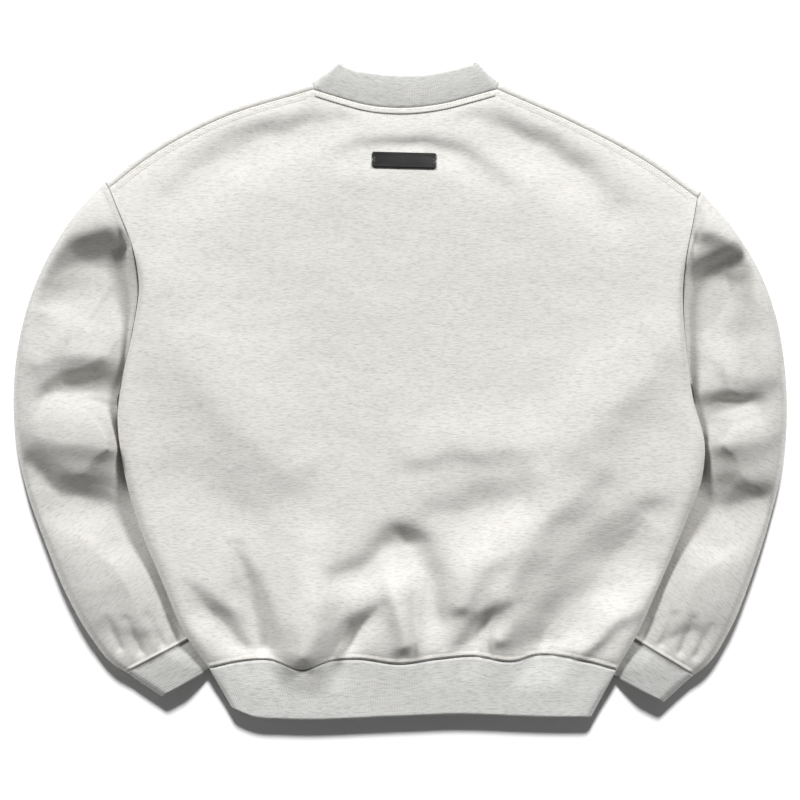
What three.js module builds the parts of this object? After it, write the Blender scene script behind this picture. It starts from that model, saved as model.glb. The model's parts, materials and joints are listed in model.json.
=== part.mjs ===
// A crewneck sweatshirt in heavy brushed fleece, laid face down on a flat surface with its back up.
// Millimetres, +Z up, +Y towards the collar, +X to the wearer's right hand as the back is seen from above.
// The origin lies on the surface, under the middle of the garment's box.
// The body is two panels sewn at the sides. The sleeves are tubes that tuck in under the body's sides.
// Cuffs, hem band and collar are doubled rib. Every piece is a wall of cloth, 0.3 mm from its neighbour.
import * as THREE from "three";

// Cloth
const FLEECE = 2.4; // thickness of the body and sleeve cloth
const RIB = 3.6; // thickness of the doubled rib of the bands
const SEAM_GAP = 0.3; // between two pieces at a seam
const TAPE = 1.2; // thickness of the neck tape
const RUBBER = 1.6; // thickness of the label

// Loft of the garment as it lies
const BODY_LOFT = 31; // top of the back, away from every edge
const HEM_DROP = 11; // how much lower the back is at the hem seam
const HEM_REACH = 26; // how far in from the hem seam that drop is felt
const TOP_DROP = 13; // how much lower the back is at the shoulders and the neck
const TOP_REACH = 38;
const SIDE_MID = 18.5; // height of the side fold where it lies on a sleeve
const CORNER_MID = 16.5; // height of the side fold at the hem seam
const CORNER_Y = -288; // where the side fold has the lower height, and where it has the upper one
const SIDE_MID_Y = -140;
const SIDE_ROLL = 9; // radius of the side fold, in plan
const TUCK_CLEAR = 11.6; // underside of the front panel where a sleeve is tucked under it
const TUCK_FULL = 46; // how far in from the side that clearance is kept
const TUCK_END = 88; // where the front panel is back on the surface
const TUCK_FADE = { from: 50, to: 136 }; // heights above the underarm between which that clearance ends
const SHOULDER_ROLL = 9; // radius of the fold along the shoulders
const ARMHOLE_DIP = 1.5; // the seam lies this much below the cloth beside it
const TUCKED_SLEEVE = 10.6; // thickness of the tucked part of a sleeve
const TUCK_MARGIN = 0.8; // how much lower a hollow may press it
const TUCK_EDGE = 3; // how far outside the body's edge it has that thickness
const SEAM_FOLDS = 0.65; // share of a fold's height that is left at the hem seam
const SEAM_REACH = 18; // how far in from the hem seam folds have their whole height
const TOP_FADE = 24; // and how far in from the shoulders and the neck

// Outline of the body, left and right edges from the hem corner up to the shoulder
const SIDE_LEFT = [
  [-199, -288], [-223, -255], [-247, -200], [-273, -136], [-288, -80], [-294, -22],
  [-289, 14], [-278, 65], [-272, 111], [-278, 150], [-290, 181], [-308, 213],
];
const SIDE_RIGHT = [
  [225, -290], [244, -258], [268, -205], [297, -136], [314, -90], [317, -60],
  [304, -4], [297, 50], [294, 96], [297, 140], [304, 175], [313, 204],
];
const UNDERARM_LEFT = 14; // height in Y where the armhole ends and the side begins
const UNDERARM_RIGHT = 10;
const ROLLED_UP_TO = 100; // the side stays a rolled edge up to here, then it is a flat seam
const FLAT_FROM = 150;
const PANEL_WIDTH = 560; // a body panel's usual width, which turns distances in from a side into shares

// The shoulder fold, from the armhole to the neck, and how far in the shoulder seam lies on the back
const SHOULDER_LEFT = [[-308, 218], [-268, 249], [-191, 291], [-93, 322]];
const SHOULDER_RIGHT = [[314, 208], [265, 243], [185, 286], [104, 322]];
const SHOULDER_SEAM_IN = 8;
const NECK_BACK = [[-84, 313], [-68, 307], [-29, 297], [4, 295], [47, 300], [74, 307], [96, 314]];
const NECK_FRONT = [[-84, 308], [-74, 262], [-46, 216], [5, 196], [56, 216], [84, 262], [94, 308]];
const NECK_LEFT_U = 0.36; // share of the panel's width where each shoulder ends
const NECK_RIGHT_U = 0.67;

// The hem seam between the two hem corners, as a height in Y at each X
const HEM_SEAM = [
  [-199, -288], [-165, -281], [-135, -280], [-103, -290], [-72, -281], [-45, -279],
  [0, -284], [39, -279], [74, -276], [121, -281], [138, -276], [196, -282], [225, -290],
];
const HEM_EDGE = [[-176, -329], [-151, -339], [-122, -341], [0, -338], [53, -336], [159, -339], [199, -339]];
const HEM_TOP = 19; // height of the band's back above the surface, in the middle
const HEM_CORNER = 10.5; // and at its side folds
const HEM_WIDTH = 400;
const HEM_LEVEL = { top: 0.6, corner: 0.9, under: 0.3, sink: 0.7 }; // shares of the band's length where it is level

// Sections along each sleeve. Columns: outer edge X and Y, tucked inner edge X and Y, loft between them.
const SLEEVE_LEFT = [
  [-308, 218, -288.2, 14, 24],
  [-340, 183, -294.5, -14, 29],
  [-370, 135, -289, -42, 32],
  [-391, 81, -278, -68, 33],
  [-402, 20, -262, -92, 34],
  [-402, -40, -248, -116, 34],
  [-391, -98, -236, -142, 33],
  [-371, -156, -224, -168, 32],
  [-348, -212, -211, -196, 31],
  [-323, -256, -203, -222, 28],
  [-299, -285, -197, -240, 23],
  [-286, -293, -194, -245, 21],
];
const SLEEVE_RIGHT = [
  [314, 208, 303, 10, 24],
  [343, 175, 307, -16, 29],
  [371, 132, 304, -44, 32],
  [391, 81, 295, -70, 33],
  [401, 24, 281, -95, 34],
  [403, -30, 267, -121, 34],
  [397, -85, 255, -147, 33],
  [384, -138, 243, -173, 32],
  [366, -194, 232, -200, 31],
  [344, -248, 224, -224, 28],
  [318, -287, 219, -238, 23],
  [306, -296, 217, -242, 21],
];

// How a tube rounds over from its outer edge, how wide its slope down to the body is, how much of the
// folds it shows, and over which shares of its length the seam that it starts from dies away
const SLEEVE_SHAPE = { crown: 34, slopeToBody: 34, folds: 1, fadePlan: 0.2, fadeHeight: 0.036 };
const CUFF_SHAPE = { crown: 16, slopeToBody: 22, folds: 0, fadePlan: 0.4, fadeHeight: 0.4 };

// The armhole: heights above the underarm where its own points begin, and between which the sleeve rises
const ARMHOLE = { from: 18, riseFrom: 20, riseTo: 76, top: 18, wall: 7.5 };

// Cuffs: seam and open edge, each from the outer to the tucked inner end
const CUFF_LEFT = { seam: [[-284, -295], [-195, -247]], edge: [[-249, -318], [-177, -278]], loft: 20 };
const CUFF_RIGHT = { seam: [[304, -297], [218, -244]], edge: [[275, -324], [203, -287]], loft: 20 };

// The collar's free edge over the back and under the front, left to right
const COLLAR_BACK = [[-64, 341.5], [-51, 335], [-28, 331], [-4, 329], [22, 329], [47, 333], [70, 338.5], [81, 341.5]];
const COLLAR_FRONT = [[-60, 326], [-50, 290], [-31, 252], [6, 232], [42, 252], [61, 290], [74, 326]];
const COLLAR_TOP = 17; // height of the free edge over the back
const COLLAR_GAP = 0.45; // between the collar and the panels, a little more because the seam curves
const COLLAR_SWELL = 3; // how far the free edge stands out at the shoulder folds
const TAPE_FROM = 1.2; // the tape's edges, below the neck seam
const TAPE_TO = 6.6;

// The label on the back
const LABEL = { x: 4, y: 240, length: 67, width: 16.6, turn: -1.4, corner: 0.64, notch: 1.2 };

// Main folds: soft crests and hollows along paths. Columns: X, Y, half width, height added.
const BODY_FOLDS = [
  { name: "hollow below left shoulder", path: [[-66, 282, 16, -2], [-124, 272, 18, -4], [-190, 246, 20, -4], [-228, 212, 18, -2]] },
  { name: "hollow below right shoulder", path: [[74, 284, 14, -2], [124, 262, 18, -5], [180, 240, 20, -5], [224, 196, 18, -3]] },
  { name: "hollow above label", path: [[-55, 247, 10, -1], [0, 257, 10, -2.2], [64, 248, 11, -2.2], [104, 216, 12, -1]] },
  { name: "left side swell", path: [[-240, 95, 34, 2], [-195, 10, 38, 5], [-150, -45, 34, 4], [-120, -80, 26, 2]] },
  { name: "right side swell", path: [[262, 35, 30, 2], [200, -30, 32, 4], [146, -80, 24, 2]] },
  { name: "left side hollow", path: [[-226, -70, 22, -2], [-188, -104, 20, -3]] },
  { name: "middle swell", path: [[24, -80, 18, 2], [75, -66, 20, 4], [125, -70, 18, 3]] },
  { name: "hollow below middle swell", path: [[40, -128, 18, -2], [80, -122, 18, -4], [122, -112, 16, -3]] },
  { name: "middle hollow, left leg", path: [[12, -142, 15, -7], [-22, -168, 14, -7], [-66, -190, 14, -3]] },
  { name: "middle hollow, right leg", path: [[18, -146, 14, -5], [30, -190, 13, -6], [36, -240, 12, -6], [36, -268, 11, -3]] },
  { name: "middle crest", path: [[-14, -180, 11, 2], [-6, -215, 11, 5], [4, -264, 11, 5]] },
  { name: "left lobe over hem", path: [[-88, -172, 22, 3], [-92, -228, 19, 7], [-100, -276, 18, 8]] },
  { name: "hollow beside left lobe", path: [[-34, -234, 11, -4], [-52, -252, 10, -7], [-64, -274, 9, -5]] },
  { name: "left outer hollow", path: [[-206, -210, 13, -4], [-182, -238, 12, -7], [-162, -266, 11, -6]] },
  { name: "left inner hollow", path: [[-166, -176, 9, -3], [-154, -226, 9, -6], [-138, -264, 9, -7]] },
  { name: "right inner crest", path: [[104, -166, 18, 4], [72, -196, 16, 6], [58, -230, 14, 5]] },
  { name: "right inner hollow", path: [[100, -228, 9, -3], [86, -242, 10, -6], [72, -262, 9, -4]] },
  { name: "crest before the right hollow", path: [[198, -88, 22, 4], [154, -136, 19, 6], [126, -196, 17, 6], [114, -258, 13, 4]] },
  { name: "right hollow", path: [[244, -130, 22, -5], [226, -160, 21, -9], [196, -198, 19, -10], [168, -236, 17, -9], [140, -276, 14, -7]] },
  { name: "crest after the right hollow", path: [[254, -200, 14, 2], [214, -234, 14, 5], [180, -270, 12, 4]] },
];
const SLEEVE_FOLDS = [
  { name: "left cap crest", path: [[-356, 134, 24, 4], [-327, 160, 24, 7], [-296, 172, 20, 7]] },
  { name: "left deep hollow", path: [[-356, 82, 24, -9], [-322, 70, 27, -15], [-282, 66, 26, -16]] },
  { name: "left hollow beside the seam", path: [[-294, 138, 15, -5], [-286, 100, 19, -8]] },
  { name: "left upper crest", path: [[-368, 30, 16, 3], [-335, 37, 15, 6], [-288, 33, 14, 6]] },
  { name: "left elbow crease", path: [[-366, -4, 10, -3], [-338, 4, 12, -8], [-312, 1, 12, -9], [-276, -8, 12, -8]] },
  { name: "left middle crest", path: [[-386, -44, 18, 3], [-350, -60, 20, 6], [-296, -74, 20, 6]] },
  { name: "left lower hollow", path: [[-382, -84, 14, -5], [-354, -110, 17, -9], [-316, -124, 18, -10], [-270, -128, 18, -8]] },
  { name: "left cuff pleat", path: [[-308, -252, 9, -3], [-274, -262, 8, -4]] },
  { name: "right cap crest", path: [[368, 128, 22, 5], [336, 164, 22, 7], [306, 172, 18, 4]] },
  { name: "right deep hollow", path: [[364, 136, 18, -8], [344, 106, 19, -13], [320, 68, 20, -13]] },
  { name: "right upper crest", path: [[300, 22, 14, 3], [340, 17, 16, 6], [378, 14, 14, 4]] },
  { name: "right elbow crease", path: [[304, -22, 11, -7], [338, -20, 12, -8], [370, -14, 10, -5]] },
  { name: "right middle crest", path: [[304, -64, 18, 4], [345, -64, 20, 6], [384, -58, 18, 4]] },
  { name: "right lower hollow", path: [[298, -140, 16, -7], [338, -134, 18, -10], [378, -124, 16, -7]] },
  { name: "right cuff pleat", path: [[282, -262, 8, -3], [304, -252, 9, -4]] },
];
const FOLD_STEPS = 48; // points taken along each fold's path

// How finely the walls are divided
const ROW_SHARES = [
  0, 0.02, 0.05, 0.09, 0.135, 0.18, 0.225, 0.27, 0.315, 0.36, 0.405, 0.45, 0.495, 0.54, 0.58,
  0.62, 0.665, 0.71, 0.755, 0.8, 0.845, 0.89, 0.93, 0.965, 1,
];
const FRONT_ROW_SHARES = [0, 0.06, 0.18, 0.3, 0.42, 0.54, 0.58, 0.62, 0.665, 0.71, 0.755, 0.8, 0.845, 0.89, 0.93, 0.965, 1];
const SHOULDER_STEPS = 7;
const NECK_STEPS = 12;
const ROLL_STEPS = [0.14, 0.5, 1]; // shares of a fold's radius where it gets a column
const WRAP_ANGLES = [-60, -25, 0, 40, 62]; // round the shoulder fold, in degrees above the horizon
const SLEEVE_SHARES = [0, 0.012, 0.03, 0.07, 0.12, 0.18, 0.24, 0.3, 0.36, 0.42, 0.48, 0.55, 0.62, 0.7, 0.78, 0.86, 0.93, 0.975, 1];
const CUFF_SHARES = [0, 0.12, 0.4, 0.75, 1];
const BAND_SHARES = [1, 0.85, 0.45, 0.12, 0];
const COLLAR_SHARES = [0, 0.35, 0.8, 1];

const FLEECE_COLOUR = 0xe3e1db;
const RIB_COLOUR = 0xd2d1cd;
const RUBBER_COLOUR = 0x1f2024;

function smooth(from, to, value) {
  const share = THREE.MathUtils.clamp((value - from) / (to - from), 0, 1);
  return share * share * (3 - 2 * share);
}

function mix(a, b, share) {
  return a + (b - a) * share;
}

function mixPoint(a, b, share) {
  return a.map((value, k) => mix(value, b[k], share));
}

// A smooth curve through rows of numbers, at a share of its length in plan from 0 to 1.
function curveThrough(rows) {
  const reach = [0];
  for (let i = 1; i < rows.length; i++) {
    reach.push(reach[i - 1] + Math.hypot(rows[i][0] - rows[i - 1][0], rows[i][1] - rows[i - 1][1]));
  }
  const last = rows.length - 1;
  const slope = (i, k) => (rows[i + 1][k] - rows[i][k]) / (reach[i + 1] - reach[i]);
  const tangent = (i, k) => {
    if (i === 0) return slope(0, k);
    if (i === last) return slope(last - 1, k);
    const before = reach[i] - reach[i - 1];
    const after = reach[i + 1] - reach[i];
    return (slope(i, k) * before + slope(i - 1, k) * after) / (before + after);
  };
  return (share) => {
    const s = THREE.MathUtils.clamp(share, 0, 1) * reach[last];
    let i = 0;
    while (i < last - 1 && s > reach[i + 1]) i++;
    const span = reach[i + 1] - reach[i];
    const t = (s - reach[i]) / span;
    const t2 = t * t;
    const t3 = t2 * t;
    return rows[i].map((_, k) =>
      (2 * t3 - 3 * t2 + 1) * rows[i][k] + (t3 - 2 * t2 + t) * span * tangent(i, k)
      + (3 * t2 - 2 * t3) * rows[i + 1][k] + (t3 - t2) * span * tangent(i + 1, k));
  };
}

// The same kind of curve, read where its column "by" has a value.
function valueAt(curve, by, value) {
  let low = 0;
  let high = 1;
  const rising = curve(1)[by] > curve(0)[by];
  for (let n = 0; n < 24; n++) {
    const middle = (low + high) / 2;
    if ((curve(middle)[by] < value) === rising) low = middle;
    else high = middle;
  }
  return curve((low + high) / 2);
}

// Points along each fold of a table, close enough together to read its height from the nearest one.
function alongFolds(table) {
  return table.map(({ path }) => {
    const at = curveThrough(path);
    return Array.from({ length: FOLD_STEPS + 1 }, (_, n) => at(n / FOLD_STEPS));
  });
}

const bodyFolds = alongFolds(BODY_FOLDS);
const sleeveFolds = alongFolds(SLEEVE_FOLDS);

// The height that folds add at a point.
function foldHeight(folds, x, y) {
  let height = 0;
  for (const points of folds) {
    let nearest = Infinity;
    let rise = 0;
    for (const [px, py, half, here] of points) {
      const away = ((x - px) ** 2 + (y - py) ** 2) / half ** 2;
      if (away < nearest) {
        nearest = away;
        rise = here;
      }
    }
    height += rise * Math.exp(-nearest);
  }
  return height;
}

// The rounding of a folded edge: 0 at the edge, 1 from its radius inwards.
function roll(inward, radius) {
  const share = 1 - THREE.MathUtils.clamp(inward / radius, 0, 1);
  return Math.sqrt(1 - share * share);
}

// Directions in plan, square to a row of points, to its right.
function sideways(points) {
  return points.map((_, i) => {
    const a = points[Math.max(0, i - 1)];
    const b = points[Math.min(points.length - 1, i + 1)];
    return new THREE.Vector3(b[1] - a[1], a[0] - b[0], 0).normalize();
  });
}

function moved(point, direction, distance) {
  return [point[0] + direction.x * distance, point[1] + direction.y * distance, point[2]];
}

// A surface of rows of points. Its four-sided faces look up when the rows go up and the points go right.
function gridSurface(rows, closed) {
  const across = rows[0].length;
  const faces = [];
  for (let j = 1; j < rows.length; j++) {
    for (let i = 0; i < (closed ? across : across - 1); i++) {
      const next = (i + 1) % across;
      faces.push([(j - 1) * across + i, (j - 1) * across + next, j * across + next, j * across + i]);
    }
  }
  return { points: rows.flat(), faces, cuts: new Map() };
}

// Marks edge points of a surface where the wall is cut square to a direction.
function cutAt(surface, indices, directions) {
  indices.forEach((index, n) => {
    const list = surface.cuts.get(index) ?? [];
    list.push(Array.isArray(directions) ? directions[n] : directions);
    surface.cuts.set(index, list);
  });
}

function flip(surface) {
  surface.faces = surface.faces.map((face) => [...face].reverse());
  return surface;
}

// A solid wall of cloth behind a surface.
function wallOf(surface, thickness, material, name) {
  const outer = surface.points.map((p) => new THREE.Vector3(...p));
  const normals = outer.map(() => new THREE.Vector3());
  for (const face of surface.faces) {
    const [a, b, c, d] = face.map((i) => outer[i]);
    const normal = new THREE.Vector3().crossVectors(c.clone().sub(a), d.clone().sub(b)).normalize();
    for (const i of face) normals[i].add(normal);
  }
  for (const [index, directions] of surface.cuts) {
    for (const direction of directions) {
      normals[index].addScaledVector(direction, -normals[index].dot(direction));
    }
  }
  const count = outer.length;
  const inner = outer.map((p, i) => p.clone().addScaledVector(normals[i].normalize(), -thickness));
  const triangles = [];
  const edges = new Map();
  for (const [a, b, c, d] of surface.faces) {
    triangles.push(a, b, c, a, c, d);
    triangles.push(count + a, count + c, count + b, count + a, count + d, count + c);
    for (const [from, to] of [[a, b], [b, c], [c, d], [d, a]]) edges.set(`${from},${to}`, [from, to]);
  }
  for (const [from, to] of edges.values()) {
    if (!edges.has(`${to},${from}`)) triangles.push(to, from, count + from, to, count + from, count + to);
  }
  const geometry = new THREE.BufferGeometry();
  geometry.setAttribute("position", new THREE.Float32BufferAttribute([...outer, ...inner].flatMap((p) => p.toArray()), 3));
  geometry.setIndex(triangles);
  geometry.computeVertexNormals();
  const mesh = new THREE.Mesh(geometry, material);
  mesh.name = name;
  return mesh;
}

// A shoulder fold's point, moved in towards the body.
function shoulderPoint(fold, share, inward) {
  const [x, y] = fold(share);
  const [ax, ay] = fold(Math.max(0, share - 0.02));
  const [bx, by] = fold(Math.min(1, share + 0.02));
  const long = Math.hypot(bx - ax, by - ay);
  const side = bx > ax ? 1 : -1;
  return [x + (side * (by - ay) * inward) / long, y - (side * (bx - ax) * inward) / long];
}

// The way a shoulder fold runs at one of its ends, pointing off that end.
function foldEnd(fold, share) {
  const [ax, ay] = fold(share);
  const [bx, by] = fold(share < 0.5 ? 0.04 : 0.96);
  return new THREE.Vector3(ax - bx, ay - by, 0).normalize();
}

const leftFold = curveThrough(SHOULDER_LEFT);
const rightFold = curveThrough(SHOULDER_RIGHT);
const BACK_IN = SHOULDER_SEAM_IN + SEAM_GAP + 0.05;

function neckCurve(rows, inward) {
  return curveThrough([shoulderPoint(leftFold, 1, inward), ...rows.slice(1, -1), shoulderPoint(rightFold, 1, inward)]);
}

function sideCurve(rows, fold, inward) {
  return curveThrough([...rows.slice(0, -1), shoulderPoint(fold, 0, inward)]);
}

const leftSide = sideCurve(SIDE_LEFT, leftFold, BACK_IN);
const rightSide = sideCurve(SIDE_RIGHT, rightFold, BACK_IN);
const hemSeam = curveThrough(HEM_SEAM);
const hemEdge = curveThrough(HEM_EDGE);

// How far a point lies inside the body's nearer side.
function insideSide(x, y) {
  return x < 0 ? x - valueAt(leftSide, 1, y)[0] : valueAt(rightSide, 1, y)[0] - x;
}

// The underside of the front panel: on the surface in the middle, lifted where a sleeve is tucked in.
function frontUnderside(x, y) {
  const underarm = x < 0 ? UNDERARM_LEFT : UNDERARM_RIGHT;
  const alongArmhole = 1 - smooth(underarm + TUCK_FADE.from, underarm + TUCK_FADE.to, y);
  const acrossBody = 1 - smooth(TUCK_FULL, TUCK_END, insideSide(x, y));
  return TUCK_CLEAR * alongArmhole * acrossBody;
}

function sideMid(y) {
  return mix(CORNER_MID, SIDE_MID, smooth(CORNER_Y, SIDE_MID_Y, y));
}

// The back's height, from a point's distances to the hem seam and to the top edge.
function backHeight(x, y, fromHem, fromTop) {
  const kept = mix(SEAM_FOLDS, 1, smooth(0, SEAM_REACH, fromHem)) * smooth(0, TOP_FADE, fromTop);
  const folds = foldHeight(bodyFolds, x, y) * kept;
  const level = BODY_LOFT - HEM_DROP * Math.exp(-fromHem / HEM_REACH) - TOP_DROP * Math.exp(-fromTop / TOP_REACH) + folds;
  const edge = mix(sideMid(y), level - ARMHOLE_DIP, smooth(ROLLED_UP_TO, FLAT_FROM, y));
  return mix(edge, level, roll(insideSide(x, y), SIDE_ROLL));
}

// Shares across a panel: columns close together at the sides, and one at each end of the neck.
function columnShares() {
  const edge = [0, ...ROLL_STEPS.map((step) => (step * SIDE_ROLL) / PANEL_WIDTH)];
  const start = edge[edge.length - 1];
  const shares = [...edge];
  const stretch = (from, to, steps) => {
    for (let i = 1; i <= steps; i++) shares.push(mix(from, to, i / steps));
  };
  stretch(start, NECK_LEFT_U, SHOULDER_STEPS);
  stretch(NECK_LEFT_U, NECK_RIGHT_U, NECK_STEPS);
  stretch(NECK_RIGHT_U, 1 - start, SHOULDER_STEPS);
  return [...shares, ...edge.slice(0, -1).map((share) => 1 - share).reverse()];
}

const COLUMNS = columnShares();
const LAST = COLUMNS.length - 1;
const NECK_FROM = ROLL_STEPS.length + SHOULDER_STEPS;
const NECK_TO = NECK_FROM + NECK_STEPS;

// The top edge of a panel at a share of its width: left shoulder, neck, right shoulder.
function topEdge(neck, inward) {
  return (u) => {
    if (u < NECK_LEFT_U) return shoulderPoint(leftFold, u / NECK_LEFT_U, inward);
    if (u > NECK_RIGHT_U) return shoulderPoint(rightFold, (1 - u) / (1 - NECK_RIGHT_U), inward);
    return neck((u - NECK_LEFT_U) / (NECK_RIGHT_U - NECK_LEFT_U));
  };
}

// A patch between four edges, each a curve in plan.
function patchPoint(hem, top, left, right, u, v) {
  return [0, 1].map((k) => mix(hem(u)[k], top(u)[k], v) + mix(left(v)[k], right(v)[k], u)
    - mix(mix(hem(0)[k], hem(1)[k], u), mix(top(0)[k], top(1)[k], u), v));
}

function backPoints() {
  const top = topEdge(neckCurve(NECK_BACK, BACK_IN), BACK_IN);
  return ROW_SHARES.map((v) => COLUMNS.map((u) => {
    const [x, y] = patchPoint(hemSeam, top, leftSide, rightSide, u, v);
    const fromHem = Math.max(0, y - valueAt(hemSeam, 0, x)[1]);
    const fromTop = Math.hypot(top(u)[0] - x, top(u)[1] - y);
    return [x, y, backHeight(x, y, fromHem, fromTop)];
  }));
}

function frontPoints() {
  const top = topEdge(neckCurve(NECK_FRONT, SHOULDER_ROLL), SHOULDER_ROLL);
  const left = sideCurve(SIDE_LEFT, leftFold, SHOULDER_ROLL);
  const right = sideCurve(SIDE_RIGHT, rightFold, SHOULDER_ROLL);
  return FRONT_ROW_SHARES.map((v) => COLUMNS.map((u) => {
    const [x, y] = patchPoint(hemSeam, top, left, right, u, v);
    const under = frontUnderside(x, y);
    const underarm = x < 0 ? UNDERARM_LEFT : UNDERARM_RIGHT;
    const rolled = y < underarm ? roll(insideSide(x, y), SIDE_ROLL) : 1;
    return [x, y, mix(sideMid(y) - SEAM_GAP, under, rolled)];
  }));
}

// Rows of points round a shoulder fold, from below the surface of the front up to the shoulder seam.
function wrapPoints(fold, shares) {
  return WRAP_ANGLES.map((angle, n) => {
    const turn = THREE.MathUtils.degToRad(angle);
    const inward = n === WRAP_ANGLES.length - 1 ? SHOULDER_SEAM_IN : SHOULDER_ROLL * (1 - Math.cos(turn));
    return shares.map((share) => [...shoulderPoint(fold, share, inward), SHOULDER_ROLL * (1 + Math.sin(turn))]);
  });
}

const backRows = backPoints();
const frontRows = frontPoints();
const leftWrap = wrapPoints(leftFold, COLUMNS.slice(0, NECK_FROM + 1).map((u) => u / NECK_LEFT_U));
const rightWrap = wrapPoints(rightFold, COLUMNS.slice(NECK_TO).map((u) => (1 - u) / (1 - NECK_RIGHT_U)));
const UP = new THREE.Vector3(0, 0, 1);

// Marks the four edges of a panel. Its sides are cut level where they roll, and upright at the armholes.
function cutPanel(surface, rows, rolledUpTo, uprightFrom) {
  const across = rows[0].length;
  const lastRow = (rows.length - 1) * across;
  const bottom = rows[0].map((_, i) => i);
  const top = bottom.map((i) => lastRow + i);
  cutAt(surface, bottom, sideways(rows[0]));
  cutAt(surface, top, sideways(rows[rows.length - 1]));
  for (const column of [0, across - 1]) {
    const edge = rows.map((row) => row[column]);
    const inwards = column === 0 ? 1 : -1;
    const directions = sideways(edge).map((direction, j) => {
      const upright = smooth(rolledUpTo, uprightFrom, edge[j][1]);
      return UP.clone().multiplyScalar(1 - upright).addScaledVector(direction, inwards * upright).normalize();
    });
    cutAt(surface, rows.map((_, j) => j * across + column), directions);
  }
}

function backPanel(material) {
  const surface = gridSurface(backRows, false);
  cutPanel(surface, backRows, ROLLED_UP_TO - 20, FLAT_FROM - 10);
  return wallOf(surface, FLEECE, material, "back_panel");
}

function frontPanel(material) {
  const surface = gridSurface(frontRows, false);
  const across = COLUMNS.length;
  const lastRow = (frontRows.length - 1) * across;
  cutPanel(surface, frontRows, UNDERARM_RIGHT, UNDERARM_LEFT + 2);
  for (let i = 0; i < across; i++) {
    if (i <= NECK_FROM || i >= NECK_TO) surface.cuts.delete(lastRow + i);
  }
  cutAt(surface, [lastRow], foldEnd(leftFold, 0));
  cutAt(surface, [lastRow + NECK_FROM], foldEnd(leftFold, 1));
  cutAt(surface, [lastRow + NECK_TO], foldEnd(rightFold, 1));
  cutAt(surface, [lastRow + LAST], foldEnd(rightFold, 0));
  for (const [wrap, first, fold] of [[leftWrap, 0, leftFold], [rightWrap, NECK_TO, rightFold]]) {
    let before = wrap[0].map((_, n) => lastRow + first + n);
    for (const row of wrap) {
      const after = row.map((_, n) => surface.points.length + n);
      surface.points.push(...row);
      for (let n = 1; n < row.length; n++) surface.faces.push([before[n - 1], before[n], after[n], after[n - 1]]);
      const ends = fold === leftFold ? [0, 1] : [1, 0];
      cutAt(surface, [after[0], after[after.length - 1]], ends.map((end) => foldEnd(fold, end)));
      before = after;
    }
    cutAt(surface, before, sideways(wrap[wrap.length - 1]));
  }
  return wallOf(flip(surface), FLEECE, material, "front_panel");
}

// A sleeve's section at a row of its table. Each column lies on the way from the outer to the inner edge.
const INNER_ROLL = TUCKED_SLEEVE / 2;

function columnPlace(column, width) {
  if (column.from === "outer") return column.at;
  if (column.from === "inner") return width - column.at;
  return mix(SHOULDER_ROLL, width - INNER_ROLL, column.at);
}

function tubePoint(row, column, isTop, shape) {
  const [outerX, outerY, innerX, innerY, loft] = row;
  const width = Math.hypot(innerX - outerX, innerY - outerY);
  const place = columnPlace(column, width);
  const share = place / width;
  const x = mix(outerX, innerX, share);
  const y = mix(outerY, innerY, share);
  const radius = share < 0.5 ? SHOULDER_ROLL : INNER_ROLL;
  const edge = Math.min(place, width - place);
  if (!isTop) return [x, y, mix(radius, 0, roll(edge, radius))];
  const inward = insideSide(x, y);
  const tucked = smooth(-shape.slopeToBody, -TUCK_EDGE, inward) * (1 - smooth(ROLLED_UP_TO, FLAT_FROM, y));
  const free = loft + foldHeight(sleeveFolds, x, y) * shape.folds;
  const level = Math.max(TUCKED_SLEEVE - TUCK_MARGIN, mix(free, TUCKED_SLEEVE, tucked));
  const crown = share < 0.5 ? mix(2 * radius, level, roll(edge, shape.crown)) : level;
  return [x, y, mix(radius, crown, roll(edge, radius))];
}

// Sections of a tube that starts at given points. The difference from the table dies away along it.
function tubeSections(rowAt, shares, columns, start, shape) {
  const build = (list, isTop) => {
    const first = rowAt(0);
    const away = list.map((column, k) => {
      const base = tubePoint(first, column, isTop, shape);
      const point = (isTop ? start.top : start.bottom)[k];
      return point.map((value, axis) => value - base[axis]);
    });
    return shares.map((share) => list.map((column, k) => {
      const base = tubePoint(rowAt(share), column, isTop, shape);
      const plan = 1 - smooth(0, shape.fadePlan, share);
      const height = 1 - smooth(0, shape.fadeHeight, share);
      return [base[0] + away[k][0] * plan, base[1] + away[k][1] * plan, base[2] + away[k][2] * height];
    }));
  };
  const tops = build(columns.top, true);
  const bottoms = build(columns.bottom, false);
  return tops.map((top, j) => ({ top, bottom: bottoms[j] }));
}

function ringOf({ top, bottom }) {
  return [...top, ...bottom.slice(1, -1).reverse()];
}

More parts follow.
